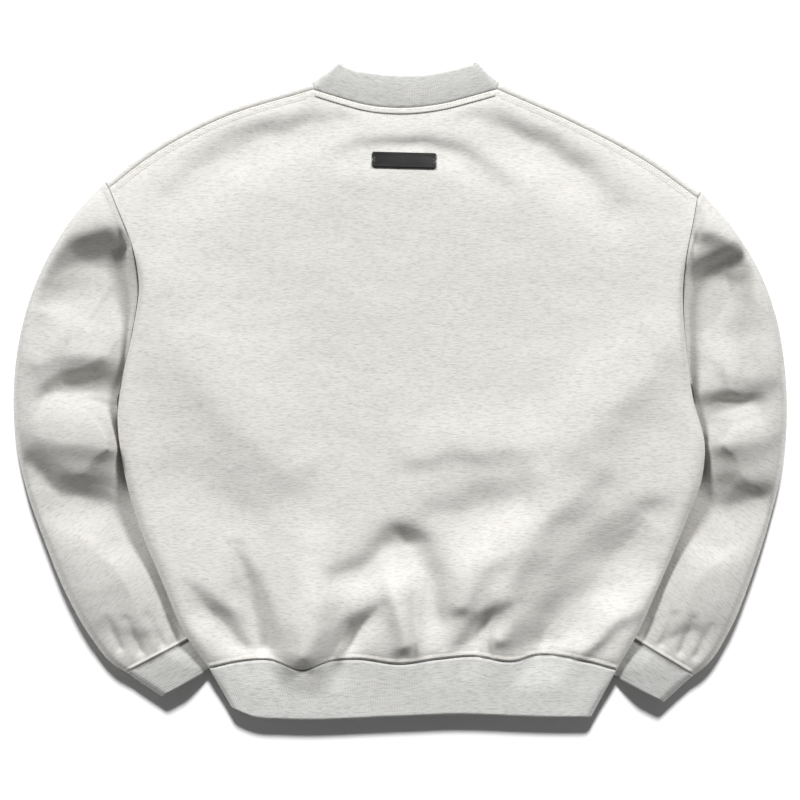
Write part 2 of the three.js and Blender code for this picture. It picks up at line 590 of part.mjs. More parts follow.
// The armhole's points for a sleeve's first section, and the columns that follow from them.
function armhole(table, fold, column) {
  const [outerX, outerY, innerX, innerY] = table[0];
  const width = Math.hypot(innerX - outerX, innerY - outerY);
  const across = [(innerX - outerX) / width, (innerY - outerY) / width];
  const underarm = column === 0 ? UNDERARM_LEFT : UNDERARM_RIGHT;
  const off = column === 0 ? -1 : 1;
  const wrap = column === 0 ? leftWrap : rightWrap;
  const wrapEnd = (n) => wrap[n][column === 0 ? 0 : wrap[n].length - 1];
  const end = foldEnd(fold, 0);
  const risen = (y) => smooth(underarm + ARMHOLE.riseFrom, underarm + ARMHOLE.riseTo, y);
  const sidePoints = (rows) => {
    const edge = rows.map((row) => row[column]);
    const directions = sideways(edge).map((direction) => direction.multiplyScalar(Math.sign(direction.x) * off));
    const list = edge.map((point, j) => ({ point, direction: j === edge.length - 1 ? directions[j].add(end).normalize() : directions[j] }));
    return list.filter(({ point }) => point[1] > underarm + ARMHOLE.from).reverse();
  };
  const top = [2, 3].map((n) => ({ point: wrapEnd(n), direction: end }));
  for (const { point, direction } of sidePoints(backRows)) {
    const height = mix(TUCKED_SLEEVE, point[2], risen(point[1]));
    top.push({ point: [point[0], point[1], height], direction });
  }
  const bottom = [2, 1, 0].map((n) => ({ point: wrapEnd(n), direction: end }));
  for (const { point, direction } of sidePoints(frontRows)) {
    const above = mix(TUCKED_SLEEVE, ARMHOLE.top, risen(point[1]));
    bottom.push({ point: [point[0], point[1], Math.max(0, Math.min(point[2], above - ARMHOLE.wall))], direction });
  }
  const columnsFrom = (list, rolls) => {
    const columns = list.map(({ point }) => {
      const along = (point[0] - outerX) * across[0] + (point[1] - outerY) * across[1];
      return { from: "span", at: (along - SHOULDER_ROLL) / (width - SHOULDER_ROLL - INNER_ROLL) };
    });
    rolls.forEach((distance, n) => { columns[n] = { from: "outer", at: distance }; });
    for (const step of [...ROLL_STEPS].reverse()) columns.push({ from: "inner", at: step * INNER_ROLL });
    return [...columns, { from: "inner", at: 0 }];
  };
  const wrapIn = (n) => SHOULDER_ROLL * (1 - Math.cos(THREE.MathUtils.degToRad(WRAP_ANGLES[n])));
  const columns = {
    top: columnsFrom(top, [0, wrapIn(3), SHOULDER_ROLL]),
    bottom: columnsFrom(bottom, [0, wrapIn(1), wrapIn(0), SHOULDER_ROLL]),
  };
  const startOf = (list, columnList, isTop) => columnList.map((place, k) =>
    k < list.length ? moved(list[k].point, list[k].direction, SEAM_GAP + 0.05) : tubePoint(table[0], place, isTop, SLEEVE_SHAPE));
  return {
    columns,
    start: { top: startOf(top, columns.top, true), bottom: startOf(bottom, columns.bottom, false) },
    directions: [...top.map((item) => item.direction), ...new Array(7).fill(top[top.length - 1].direction), ...bottom.slice(1).reverse().map((item) => item.direction)],
  };
}

// A sleeve and its cuff. The cuff starts from the sleeve's last section.
function sleeveAndCuff(table, cuff, fold, column, fleece, rib, side) {
  const along = curveThrough(table);
  const { columns, start, directions } = armhole(table, fold, column);
  const sections = tubeSections(along, SLEEVE_SHARES, columns, start, SLEEVE_SHAPE);
  const rings = sections.map(ringOf);
  const sleeveSurface = gridSurface(rings, true);
  const across = rings[0].length;
  cutAt(sleeveSurface, rings[0].map((_, i) => i), directions.slice(0, across));
  const endDirection = sideways(cuff.seam)[0].multiplyScalar(column === 0 ? 1 : -1);
  const lastRing = (rings.length - 1) * across;
  cutAt(sleeveSurface, rings[0].map((_, i) => lastRing + i), endDirection);

  const last = sections[sections.length - 1];
  const off = endDirection.clone().multiplyScalar(Math.sign(-endDirection.y));
  const cuffStart = {
    top: last.top.map((point) => moved(point, off, SEAM_GAP)),
    bottom: last.bottom.map((point) => moved(point, off, SEAM_GAP)),
  };
  const cuffRow = (share) => [
    ...mixPoint(cuff.seam[0], cuff.edge[0], share),
    ...mixPoint(cuff.seam[1], cuff.edge[1], share),
    cuff.loft,
  ];
  const cuffSections = tubeSections(cuffRow, CUFF_SHARES, columns, cuffStart, CUFF_SHAPE);
  const cuffSurface = gridSurface(cuffSections.map(ringOf), true);
  cutAt(cuffSurface, rings[0].map((_, i) => i), endDirection);
  if (column === 0) {
    flip(sleeveSurface);
    flip(cuffSurface);
  }
  return [
    wallOf(sleeveSurface, FLEECE, fleece, `sleeve_${side}`),
    wallOf(cuffSurface, RIB, rib, `cuff_${side}`),
  ];
}

// The band round the hem, from the body's own hem edge to its open mouth.
function hemBand(material) {
  const top = backRows[0];
  const bottom = frontRows[0];
  const sides = sideways(top);
  const place = (u, share, seam, isTop) => {
    const [x, y] = mixPoint(seam, hemEdge(u), share);
    if (isTop) {
      const inward = Math.min(u, 1 - u) * HEM_WIDTH;
      if (inward >= SIDE_ROLL) return [x, y, mix(seam[2], HEM_TOP, smooth(0, HEM_LEVEL.top, share))];
      const corner = mix(HEM_CORNER, HEM_TOP, roll(inward, SIDE_ROLL));
      return [x, y, mix(seam[2], corner, smooth(0, HEM_LEVEL.corner, share))];
    }
    return [x, y, seam[2] * (1 - HEM_LEVEL.sink * smooth(HEM_LEVEL.under, 1, share))];
  };
  const rows = BAND_SHARES.map((share) => {
    const upper = COLUMNS.map((u, i) => place(u, share, moved(top[i], sides[i], SEAM_GAP), true));
    const lower = COLUMNS.map((u, i) => place(u, share, moved(bottom[i], sides[i], SEAM_GAP), false));
    return [...upper, ...lower.slice(1, -1).reverse()];
  });
  const surface = gridSurface(rows, true);
  const across = rows[0].length;
  const seam = rows[0].map((_, i) => (rows.length - 1) * across + i);
  cutAt(surface, seam, [...sides, ...sides.slice(1, -1).reverse()]);
  return wallOf(surface, RIB, material, "hem_band");
}

// The collar, once round from the back's middle seam point by point, each with its free edge.
function collarBand(material) {
  const backEdge = curveThrough(COLLAR_BACK);
  const frontEdge = curveThrough(COLLAR_FRONT);
  const stations = [];
  const neckBack = backRows[backRows.length - 1].slice(NECK_FROM, NECK_TO + 1);
  const neckFront = frontRows[frontRows.length - 1].slice(NECK_FROM, NECK_TO + 1);
  neckBack.forEach((seam, i) => stations.push({ seam, edge: [...backEdge(i / NECK_STEPS), COLLAR_TOP] }));
  const rollStations = (wrap, index, from, to, order) => order.forEach((n) => {
    const share = (Math.sin(THREE.MathUtils.degToRad(WRAP_ANGLES[n])) + 1) / 2;
    const out = Math.cos(THREE.MathUtils.degToRad(WRAP_ANGLES[n])) * COLLAR_SWELL;
    const plan = mixPoint(from, to, share);
    stations.push({ seam: wrap[n][index], edge: [plan[0], plan[1] + out, mix(0, COLLAR_TOP, share)] });
  });
  rollStations(rightWrap, 0, frontEdge(1), backEdge(1), [3, 2, 1, 0]);
  [...neckFront].reverse().forEach((seam, i) => stations.push({ seam, edge: [...frontEdge(1 - i / NECK_STEPS), 0] }));
  rollStations(leftWrap, NECK_FROM, frontEdge(0), backEdge(0), [0, 1, 2, 3]);
  const directions = stations.map(({ seam, edge }) => new THREE.Vector3(edge[0] - seam[0], edge[1] - seam[1], 0).normalize());
  const rows = COLLAR_SHARES.map((share) => stations.map(({ seam, edge }, k) =>
    mixPoint(moved(seam, directions[k], COLLAR_GAP), edge, share)));
  const surface = gridSurface(rows, true);
  cutAt(surface, stations.map((_, k) => k), directions);
  return wallOf(surface, RIB, material, "collar");
}

// The height of the back panel's outer surface at a point, from its own four-sided faces.
function onBack(x, y) {
  for (let j = 1; j < backRows.length; j++) {
    for (let i = 1; i <= LAST; i++) {
      const corners = [backRows[j - 1][i - 1], backRows[j - 1][i], backRows[j][i], backRows[j][i - 1]];
      for (const [a, b, c] of [[0, 1, 2], [0, 2, 3]].map((list) => list.map((k) => corners[k]))) {
        const area = (b[0] - a[0]) * (c[1] - a[1]) - (c[0] - a[0]) * (b[1] - a[1]);
        const s = ((x - a[0]) * (c[1] - a[1]) - (c[0] - a[0]) * (y - a[1])) / area;
        const t = ((b[0] - a[0]) * (y - a[1]) - (x - a[0]) * (b[1] - a[1])) / area;
        if (s >= -1e-6 && t >= -1e-6 && s + t <= 1 + 1e-6) return a[2] + s * (b[2] - a[2]) + t * (c[2] - a[2]);
      }
    }
  }
  throw new Error(`no back panel under ${x}, ${y}`);
}

// A flat piece sewn on the back: rows of points in plan, lifted off the panel's own points.
function patchOnBack(rows, thickness, material, name) {
  const lift = 2 * SEAM_GAP + thickness;
  const surface = gridSurface(rows.map((row) => row.map(([x, y]) => [x, y, onBack(x, y) + lift])), false);
  for (let i = 0; i < surface.points.length; i++) {
    cutAt(surface, [i], new THREE.Vector3(1, 0, 0));
    cutAt(surface, [i], new THREE.Vector3(0, 1, 0));
  }
  return wallOf(surface, thickness, material, name);
}

function neckTape(material) {
  const neck = backRows[backRows.length - 1].slice(NECK_FROM, NECK_TO + 1);
  const directions = sideways(neck);
  const rows = [TAPE_TO, TAPE_FROM].map((distance) => neck.map((point, i) => moved(point, directions[i], distance)));
  return patchOnBack(rows.map((row) => row.slice(1, -1)), TAPE, material, "neck_tape");
}

function label(material) {
  const turn = THREE.MathUtils.degToRad(LABEL.turn);
  const alongShares = [-1, -0.955, -0.7, -0.4, -0.13, 0.13, 0.4, 0.7, 0.955, 1];
  const acrossShares = [-1, -0.8, -0.12, 0, 0.12, 0.8, 1];
  const rows = acrossShares.map((q) => alongShares.map((p) => {
    const corner = Math.abs(p) === 1 && Math.abs(q) === 1 ? LABEL.corner : 0;
    const notch = Math.abs(p) === 1 && q === 0 ? LABEL.notch : 0;
    const x = (p * LABEL.length) / 2 - Math.sign(p) * (corner + notch);
    const y = (q * LABEL.width) / 2 - Math.sign(q) * corner;
    return [LABEL.x + x * Math.cos(turn) - y * Math.sin(turn), LABEL.y + x * Math.sin(turn) + y * Math.cos(turn)];
  }));
  return patchOnBack(rows, RUBBER, material, "label");
}

const fleece = new THREE.MeshStandardMaterial({ color: FLEECE_COLOUR, roughness: 0.95, metalness: 0 });
const rib = new THREE.MeshStandardMaterial({ color: RIB_COLOUR, roughness: 0.92, metalness: 0 });
const rubber = new THREE.MeshStandardMaterial({ color: RUBBER_COLOUR, roughness: 0.55, metalness: 0 });

const sweatshirt = new THREE.Group();
sweatshirt.add(
  backPanel(fleece),
  frontPanel(fleece),
  ...sleeveAndCuff(SLEEVE_LEFT, CUFF_LEFT, leftFold, 0, fleece, rib, "left"),
  ...sleeveAndCuff(SLEEVE_RIGHT, CUFF_RIGHT, rightFold, LAST, fleece, rib, "right"),
  hemBand(rib),
  collarBand(rib),
  neckTape(fleece),
  label(rubber),
);

export default sweatshirt;
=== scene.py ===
"""A crewneck sweatshirt in pale heather fleece, laid face down with its back up."""
import json
import math

import bpy
import numpy as np
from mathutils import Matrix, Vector, noise
from mathutils.bvhtree import BVHTree

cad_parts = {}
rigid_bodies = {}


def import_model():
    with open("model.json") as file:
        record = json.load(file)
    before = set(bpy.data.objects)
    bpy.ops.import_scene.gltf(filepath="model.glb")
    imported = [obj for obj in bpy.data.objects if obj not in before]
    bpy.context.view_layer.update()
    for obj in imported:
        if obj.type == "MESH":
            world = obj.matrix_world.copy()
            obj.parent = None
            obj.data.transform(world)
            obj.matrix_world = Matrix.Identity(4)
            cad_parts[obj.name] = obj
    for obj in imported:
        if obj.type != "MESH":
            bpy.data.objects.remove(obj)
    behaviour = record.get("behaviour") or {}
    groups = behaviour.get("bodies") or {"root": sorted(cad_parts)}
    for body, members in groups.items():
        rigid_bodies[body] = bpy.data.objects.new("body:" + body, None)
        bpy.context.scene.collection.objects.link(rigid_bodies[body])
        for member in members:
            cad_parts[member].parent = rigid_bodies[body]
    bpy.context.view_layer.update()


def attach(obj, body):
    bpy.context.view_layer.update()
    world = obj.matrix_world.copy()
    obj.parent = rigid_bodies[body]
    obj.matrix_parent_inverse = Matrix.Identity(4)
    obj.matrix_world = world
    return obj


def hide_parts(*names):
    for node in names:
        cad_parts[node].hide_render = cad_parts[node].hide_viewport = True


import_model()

bl_info = {
    "name": "Laid Sweatshirt",
    "version": (1, 0, 0),
    "blender": (4, 5, 0),
    "location": "View3D > Sidebar > Sweatshirt",
    "description": "Makes a heather fleece crewneck sweatshirt laid flat with its back up",
    "category": "Add Mesh",
}

MM = 0.001

# Loft of the garment as it lies, and where along Y it changes, in millimetres
BODY_LOFT = 31
HEM_DROP = 11
HEM_REACH = 26
TOP_DROP = 13
TOP_REACH = 38
SIDE_MID = 18.5
CORNER_MID = 16.5
CORNER_TO_SIDE = (-288, -140)
SIDE_ROLL = 9
WIDE_SIDE_ROLL = 17
WIDE_TO_NARROW = (-70, 60)
TUCK_CLEAR = 11.6
TUCK_FULL = 46
TUCK_END = 88
TUCK_ABOVE_UNDERARM = 50
TUCK_FADE = 86
SHOULDER_ROLL = 9
SHOULDER_SEAM_IN = 8
ARMHOLE_DIP = 0.9
TUCKED_SLEEVE = 10.6
LOWEST_HOLLOW = 6.2
LOWEST_TUCK = 4
UNDERARM_LIFT = 2
LOW_BESIDE_BODY = 8
LEAST_SLOPE = 0.25
SLOPE_CUT_PER_RISE = 0.09
SLOPE_POWER = 1.4
ARMHOLE_RISE = (20, 76)
ARMHOLE_DEPTH = 7.5
ROLLED_UP_TO = 100
FLAT_FROM = 150
INNER_ROLL = TUCKED_SLEEVE / 2
JOIN_IN_PLAN = 0.2  # share of a sleeve over which it is moved to meet the body
JOIN_IN_HEIGHT = 0.036
HEM_TOP = 19
COLLAR_TOP = 17

# Room left between pieces that meet
SEAM_GAP = 0.35
RIB_GAP = 0.3
LAYER_GAP = 0.3

# Sizes that the points of the cloth are counted and spaced by
PANEL_WIDTH = 560
PANEL_LENGTH = 520
SHOULDER_WIDTH = 200
NECK_WIDTH = 180
SLEEVE_LENGTH = 610
SLEEVE_WIDTH = 190
CUFF_LENGTH = 42
HEM_LENGTH = 57
HEM_WIDTH = 424
COLLAR_WIDTH = 33

# How far the folds are raised, how much steeper their sides are that face the hem, and how noise bends them
BODY_FOLD_DEPTH = 1.68
SLEEVE_FOLD_DEPTH = 2.1
FOLD_LEAN = 0.4
FOLD_BEND = 5

# Share of the ribs in the relief of the rib knit
RIB_RELIEF = 0.4

# Rows of stitches: how far they lie from their seam or edge
HEM_STITCHES = 4.2
CUFF_STITCHES = 5.0
SHOULDER_STITCHES = (1.6, 6.8)
TAPE_STITCHES = 0.9

# Outline of the body: each side from the hem corner up to the shoulder
SIDE_LEFT = [
    (-199, -288), (-223, -255), (-247, -200), (-273, -136), (-288, -80), (-294, -22),
    (-289, 14), (-278, 65), (-272, 111), (-278, 150), (-290, 181), (-308, 213),
]
SIDE_RIGHT = [
    (225, -290), (244, -258), (268, -205), (297, -136), (314, -90), (317, -60),
    (304, -4), (297, 50), (294, 96), (297, 140), (304, 175), (313, 204),
]
UNDERARM = {"left": 14, "right": 10}
SHOULDER_FOLDS = {
    "left": [(-308, 218), (-268, 249), (-191, 291), (-93, 322)],
    "right": [(314, 208), (265, 243), (185, 286), (104, 322)],
}
NECK_BACK = [(-84, 313), (-68, 307), (-29, 297), (4, 295), (47, 300), (74, 307), (96, 314)]
NECK_FRONT = [(-84, 308), (-74, 262), (-46, 216), (5, 196), (56, 216), (84, 262), (94, 308)]
NECK_LEFT_U = 0.36
NECK_RIGHT_U = 0.67
HEM_SEAM = [
    (-199, -288), (-165, -281), (-135, -280), (-103, -290), (-72, -281), (-45, -279),
    (0, -284), (39, -279), (74, -276), (121, -281), (138, -276), (196, -282), (225, -290),
]
HEM_EDGE = [(-176, -329), (-151, -339), (-122, -341), (0, -338), (53, -336), (159, -339), (199, -339)]

# Sections along each sleeve: outer edge X and Y, tucked inner edge X and Y, loft between them
SLEEVES = {"left": [
    (-308, 218, -288.2, 14, 24), (-340, 183, -294.5, -14, 29), (-370, 135, -289, -42, 32),
    (-391, 81, -278, -68, 33), (-402, 20, -262, -92, 34), (-402, -40, -248, -116, 34),
    (-391, -98, -236, -142, 33), (-371, -156, -224, -168, 32), (-348, -212, -211, -196, 31),
    (-323, -256, -203, -222, 28), (-299, -285, -197, -240, 23), (-286, -293, -194, -245, 21),
], "right": [
    (314, 208, 303, 10, 24), (343, 175, 307, -16, 29), (371, 132, 304, -44, 32),
    (391, 81, 295, -70, 33), (401, 24, 281, -95, 34), (403, -30, 267, -121, 34),
    (397, -85, 255, -147, 33), (384, -138, 243, -173, 32), (366, -194, 232, -200, 31),
    (344, -248, 224, -224, 28), (318, -287, 219, -238, 23), (306, -296, 217, -242, 21),
]}
CUFFS = {
    "left": {"seam": [(-284, -295), (-195, -247)], "edge": [(-249, -318), (-177, -278)], "loft": 20},
    "right": {"seam": [(304, -297), (218, -244)], "edge": [(275, -324), (203, -287)], "loft": 20},
}
SLEEVE_SHAPE = {"crown": 34, "slope": 38, "folds": 1}
CUFF_SHAPE = {"crown": 16, "slope": 26, "folds": 0}

# The collar's free edge over the back and under the front, left to right
COLLAR_BACK = [
    (-64, 341.5), (-51, 335), (-28, 331), (-4, 329), (22, 329), (47, 333), (70, 338.5), (81, 341.5),
]
COLLAR_FRONT = [(-60, 326), (-50, 290), (-31, 252), (6, 232), (42, 252), (61, 290), (74, 326)]
TAPE_FROM = 1.2
TAPE_TO = 6.6
TAPE_THICKNESS = 0.9

LABEL = {"x": 4, "y": 240, "length": 67, "width": 16.6, "thickness": 0.5, "turn": -1.4}

# Folds: soft crests and hollows along paths of X, Y, half width and height added
BODY_FOLDS = [
    ("hollow below left shoulder",
     [(-66, 280, 20, -2), (-124, 268, 24, -5), (-190, 240, 26, -4.5), (-228, 206, 22, -2)]),
    ("hollow below right shoulder",
     [(80, 284, 18, -2), (126, 262, 22, -6), (170, 236, 24, -6), (216, 196, 22, -3)]),
    ("hollow above label",
     [(-55, 246, 13, -1.5), (0, 255, 13, -3), (64, 246, 14, -3), (104, 214, 14, -1.5)]),
    ("left side swell", [(-240, 95, 44, 3), (-195, 10, 50, 5.5), (-150, -45, 46, 5), (-120, -80, 34, 3)]),
    ("right side swell", [(262, 35, 36, 3), (200, -30, 40, 6), (146, -80, 30, 3)]),
    ("left side hollow", [(-226, -90, 36, -2), (-176, -124, 34, -3)]),
    ("middle swell", [(24, -66, 24, 2), (75, -56, 26, 3), (125, -60, 24, 2)]),
    ("hollow below middle swell", [(44, -130, 28, -3), (84, -122, 30, -4.5), (120, -108, 24, -2.5)]),
    ("middle hollow, left leg", [(2, -154, 24, -5.5), (-24, -176, 20, -6), (-60, -190, 16, -3)]),
    ("middle hollow, right leg",
     [(12, -160, 20, -5), (30, -198, 18, -8), (36, -240, 16, -7), (36, -268, 12, -3)]),
    ("middle crest", [(-14, -184, 12, 2), (-6, -218, 12, 5), (4, -264, 11, 5)]),
    ("left lobe over hem", [(-88, -172, 24, 3), (-92, -228, 21, 8), (-100, -276, 18, 10)]),
    ("hollow beside left lobe",
     [(-22, -226, 10, -1.5), (-36, -238, 13, -5), (-54, -254, 13, -9), (-68, -276, 11, -6)]),
    ("left outer hollow",
     [(-222, -204, 12, -1.2), (-206, -218, 15, -4.5), (-184, -242, 15, -8), (-164, -268, 12, -6)]),
    ("left inner hollow",
     [(-172, -162, 10, -1), (-165, -188, 12, -4), (-153, -228, 14, -8.5), (-140, -264, 12, -9)]),
    ("right inner crest", [(104, -166, 18, 3), (76, -192, 16, 4), (62, -222, 14, 4)]),
    ("right inner hollow",
     [(118, -220, 9, -1), (104, -230, 12, -4), (88, -244, 14, -7.5), (72, -264, 12, -5)]),
    ("crest before the right hollow",
     [(198, -84, 26, 4), (146, -136, 24, 6), (112, -196, 20, 6), (104, -258, 14, 4)]),
    ("right hollow",
     [(258, -130, 26, -4), (232, -162, 36, -9), (200, -202, 38, -10), (164, -242, 30, -10),
      (140, -276, 18, -8)]),
    ("crest after the right hollow", [(256, -214, 14, 2), (218, -244, 14, 5), (184, -274, 12, 4)]),
]
SLEEVE_FOLDS = [
    ("left cap crest", [(-350, 146, 22, 2), (-322, 168, 20, 4), (-294, 174, 18, 5)]),
    ("left deep hollow",
     [(-362, 78, 26, -3), (-344, 92, 36, -6), (-318, 96, 42, -7), (-294, 86, 40, -8), (-280, 60, 30, -9)]),
    ("left hollow under the cap",
     [(-358, 112, 20, -4), (-338, 134, 24, -9), (-310, 142, 26, -12), (-286, 118, 28, -13)]),
    ("left upper pillow", [(-372, 34, 26, 2), (-335, 40, 26, 4), (-296, 36, 20, 3)]),
    ("left elbow crease", [(-364, 1, 12, -4), (-338, 6, 15, -8), (-312, 5, 16, -9), (-276, -2, 16, -9)]),
    ("left middle pillow", [(-386, -40, 26, 2), (-350, -46, 28, 4), (-300, -60, 26, 4)]),
    ("left lower hollow",
     [(-386, -72, 18, -5), (-360, -98, 24, -9), (-322, -112, 27, -12), (-270, -124, 26, -13)]),
    ("left cuff pleat", [(-308, -248, 12, -1), (-270, -258, 12, -1.4)]),
    ("right cap crest", [(366, 138, 20, 3), (344, 160, 18, 5), (314, 168, 16, 4)]),
    ("right deep hollow",
     [(352, 112, 14, -5), (338, 92, 24, -9), (322, 72, 30, -12), (313, 46, 24, -9)]),
    ("right hollow under the cap", [(362, 150, 12, -6), (346, 132, 17, -10), (326, 112, 20, -11)]),
    ("right upper pillow", [(330, 24, 26, 2), (376, 20, 26, 3)]),
    ("right elbow crease", [(298, -22, 16, -8), (330, -18, 17, -7), (366, -10, 14, -4)]),
    ("right middle pillow", [(312, -52, 24, 3), (350, -50, 26, 4), (388, -44, 22, 2)]),
    ("right lower hollow", [(300, -100, 22, -13), (334, -118, 30, -12), (374, -114, 24, -7)]),
    ("right cuff pleat", [(282, -258, 12, -1), (308, -250, 12, -1.4)]),
]

# Small creases and ripples that only the cloth's surface shows, laid out in the same way
BODY_CREASES = [
    ("crease right of the lobe", [(-54, -240, 3, -1), (-62, -256, 2.6, -2.6), (-72, -276, 2.4, -2.6)]),
    ("pleat left of the dip", [(148, -262, 2.6, -1), (143, -278, 2.4, -2.2)]),
    ("pleat right of the dip", [(164, -258, 2.8, -1), (160, -278, 2.6, -2.4)]),
    ("second pleat right of the dip", [(178, -262, 2.8, -0.8), (177, -279, 2.4, -1.8)]),
    ("upright line on the left", [(-118, -50, 4, -0.4), (-117, -100, 3.4, -0.9), (-119, -140, 4, -0.4)]),
    ("pull above the left corner", [(-150, -246, 3, -0.8), (-144, -276, 2.6, -2)]),
    ("second pull above the left corner", [(-130, -254, 3, -0.6), (-128, -276, 2.6, -1.8)]),
    ("pull right of the middle", [(78, -252, 3, -0.6), (82, -274, 2.6, -1.8)]),
    ("second pull right of the middle", [(92, -250, 3, -0.6), (96, -274, 2.6, -1.8)]),
    ("line up from the hem's middle", [(16, -196, 4, -0.6), (14, -240, 3.4, -1.2), (16, -276, 3, -1)]),
]
SLEEVE_CREASES = [
    ("left cuff gather", [(-304, -236, 5, -1.4), (-292, -266, 4, -3.6)]),
    ("second left cuff gather", [(-284, -236, 5, -1.6), (-270, -270, 4, -4)]),
    ("third left cuff gather", [(-262, -232, 5, -1.4), (-248, -262, 4, -3.6)]),
    ("fourth left cuff gather", [(-240, -236, 3.6, -0.8), (-230, -254, 3, -2.4)]),
    ("right cuff gather", [(322, -244, 5, -1.4), (308, -274, 4, -3.6)]),
    ("second right cuff gather", [(304, -236, 5, -1.6), (292, -270, 4, -4)]),
    ("third right cuff gather", [(284, -232, 5, -1.4), (272, -262, 4, -3.6)]),
    ("fourth right cuff gather", [(262, -238, 3.6, -0.8), (254, -254, 3, -2.4)]),
    ("left elbow wrinkle", [(-352, -14, 5, -0.6), (-320, -10, 5, -1.6), (-284, -20, 5, -1)]),
    ("right elbow wrinkle", [(318, -34, 5, -1.2), (350, -32, 5, -1.4), (372, -26, 5, -0.6)]),
]


def smooth(low, high, value):
    share = np.clip((np.asarray(value, float) - low) / (high - low), 0, 1)
    return share * share * (3 - 2 * share)


def mix(a, b, share):
    return a + (b - a) * share


def unit(way):
    """Directions in plan, each made one long."""
    return way / np.hypot(way[..., 0], way[..., 1])[..., None]


def turned(x, y, angle):
    """Places or directions in plan, turned by an angle."""
    return x * np.cos(angle) - y * np.sin(angle), x * np.sin(angle) + y * np.cos(angle)


def spans_along(points):
    """The distances between a route's points in plan, and how far along it each of them lies."""
    spans = np.hypot(*np.diff(points[:, :2], axis=0).T)
    return spans, np.concatenate([[0], np.cumsum(spans)])


def curve_through(rows):
    """A smooth curve through rows of numbers, read at shares of its length in plan."""
    table = np.array(rows, float)
    spans, reach = spans_along(table)
    slopes = np.diff(table, axis=0) / spans[:, None]
    before = spans[:-1, None]
    after = spans[1:, None]
    middle = (slopes[1:] * before + slopes[:-1] * after) / (before + after)
    tangents = np.concatenate([slopes[:1], middle, slopes[-1:]])

    def at(share):
        s = np.clip(np.asarray(share, float), 0, 1) * reach[-1]
        i = np.clip(np.searchsorted(reach, s, side="right") - 1, 0, len(spans) - 1)
        span = spans[i][..., None]
        t = (s - reach[i])[..., None] / span
        t2 = t * t
        t3 = t2 * t
        return ((2 * t3 - 3 * t2 + 1) * table[i] + (t3 - 2 * t2 + t) * span * tangents[i]
                + (3 * t2 - 2 * t3) * table[i + 1] + (t3 - t2) * span * tangents[i + 1])

    return at


def reader(curve, by, wanted):
    """A function that reads one column of a curve where another column has a value."""
    samples = curve(np.linspace(0, 1, 1500))
    order = np.argsort(samples[:, by])
    return lambda value: np.interp(value, samples[order, by], samples[order, wanted])


def along_folds(table):
    """Points along each fold, close enough together to read its height from the nearest one."""
    return [curve_through(path)(np.linspace(0, 1, 60)) for _, path in table]


def fold_height(folds, x, y):
    """The height that folds add at each place, every fold by its nearest point."""
    height = np.zeros(np.shape(x))
    for points in folds:
        nearest = np.full(np.shape(x), np.inf)
        rise = np.zeros(np.shape(x))
        for px, py, half, here in points:
            reach = np.hypot(x - px, y - py)
            lean = (y - py) / np.maximum(reach, 0.001)
            away = (reach / (half * (1 + FOLD_LEAN * math.copysign(1, here) * lean))) ** 2
            closer = away < nearest
            nearest = np.where(closer, away, nearest)
            rise = np.where(closer, here, rise)
        height += rise * np.exp(-nearest)
    return height


def roll(inward, radius):
    """A quarter round: 0 at the edge, 1 from a radius inward on."""
    share = 1 - np.clip(np.asarray(inward, float) / radius, 0, 1)
    return np.sqrt(1 - share * share)


def ripple(x, y, size, seed):
    """Soft noise from -1 to 1 over a surface, with features of a given size."""
    flat = [noise.noise(Vector((a / size, b / size, seed))) for a, b in zip(np.ravel(x), np.ravel(y))]
    return np.array(flat).reshape(np.shape(x))


def bent(x, y, size, seed_x, seed_y):
    """Places moved a little by soft noise, so that no fold runs quite as its path does."""
    return x + FOLD_BEND * ripple(x, y, size, seed_x), y + FOLD_BEND * ripple(x, y, size, seed_y)


def shoulder_point(fold, share, inward):
    """Places at shares of a shoulder's fold, moved in from it towards the body."""
    share = np.asarray(share, float)
    way = unit(fold(np.clip(share + 0.02, 0, 1)) - fold(np.clip(share - 0.02, 0, 1)))
    side = np.sign(fold(1.0)[0] - fold(0.0)[0])
    square = side * np.stack([way[..., 1], -way[..., 0]], axis=-1)
    return fold(share) + square * np.asarray(inward, float)[..., None]


def sideways(points):
    """Directions in plan, square to a row of points, to its right."""
    way = np.concatenate([points[1:], points[-1:]]) - np.concatenate([points[:1], points[:-1]])
    return unit(np.stack([way[:, 1], -way[:, 0]], axis=1))


body_folds = along_folds(BODY_FOLDS)
body_creases = along_folds(BODY_CREASES)
sleeve_folds = along_folds(SLEEVE_FOLDS)
sleeve_creases = along_folds(SLEEVE_CREASES)
SHOULDERS = {side: curve_through(rows) for side, rows in SHOULDER_FOLDS.items()}


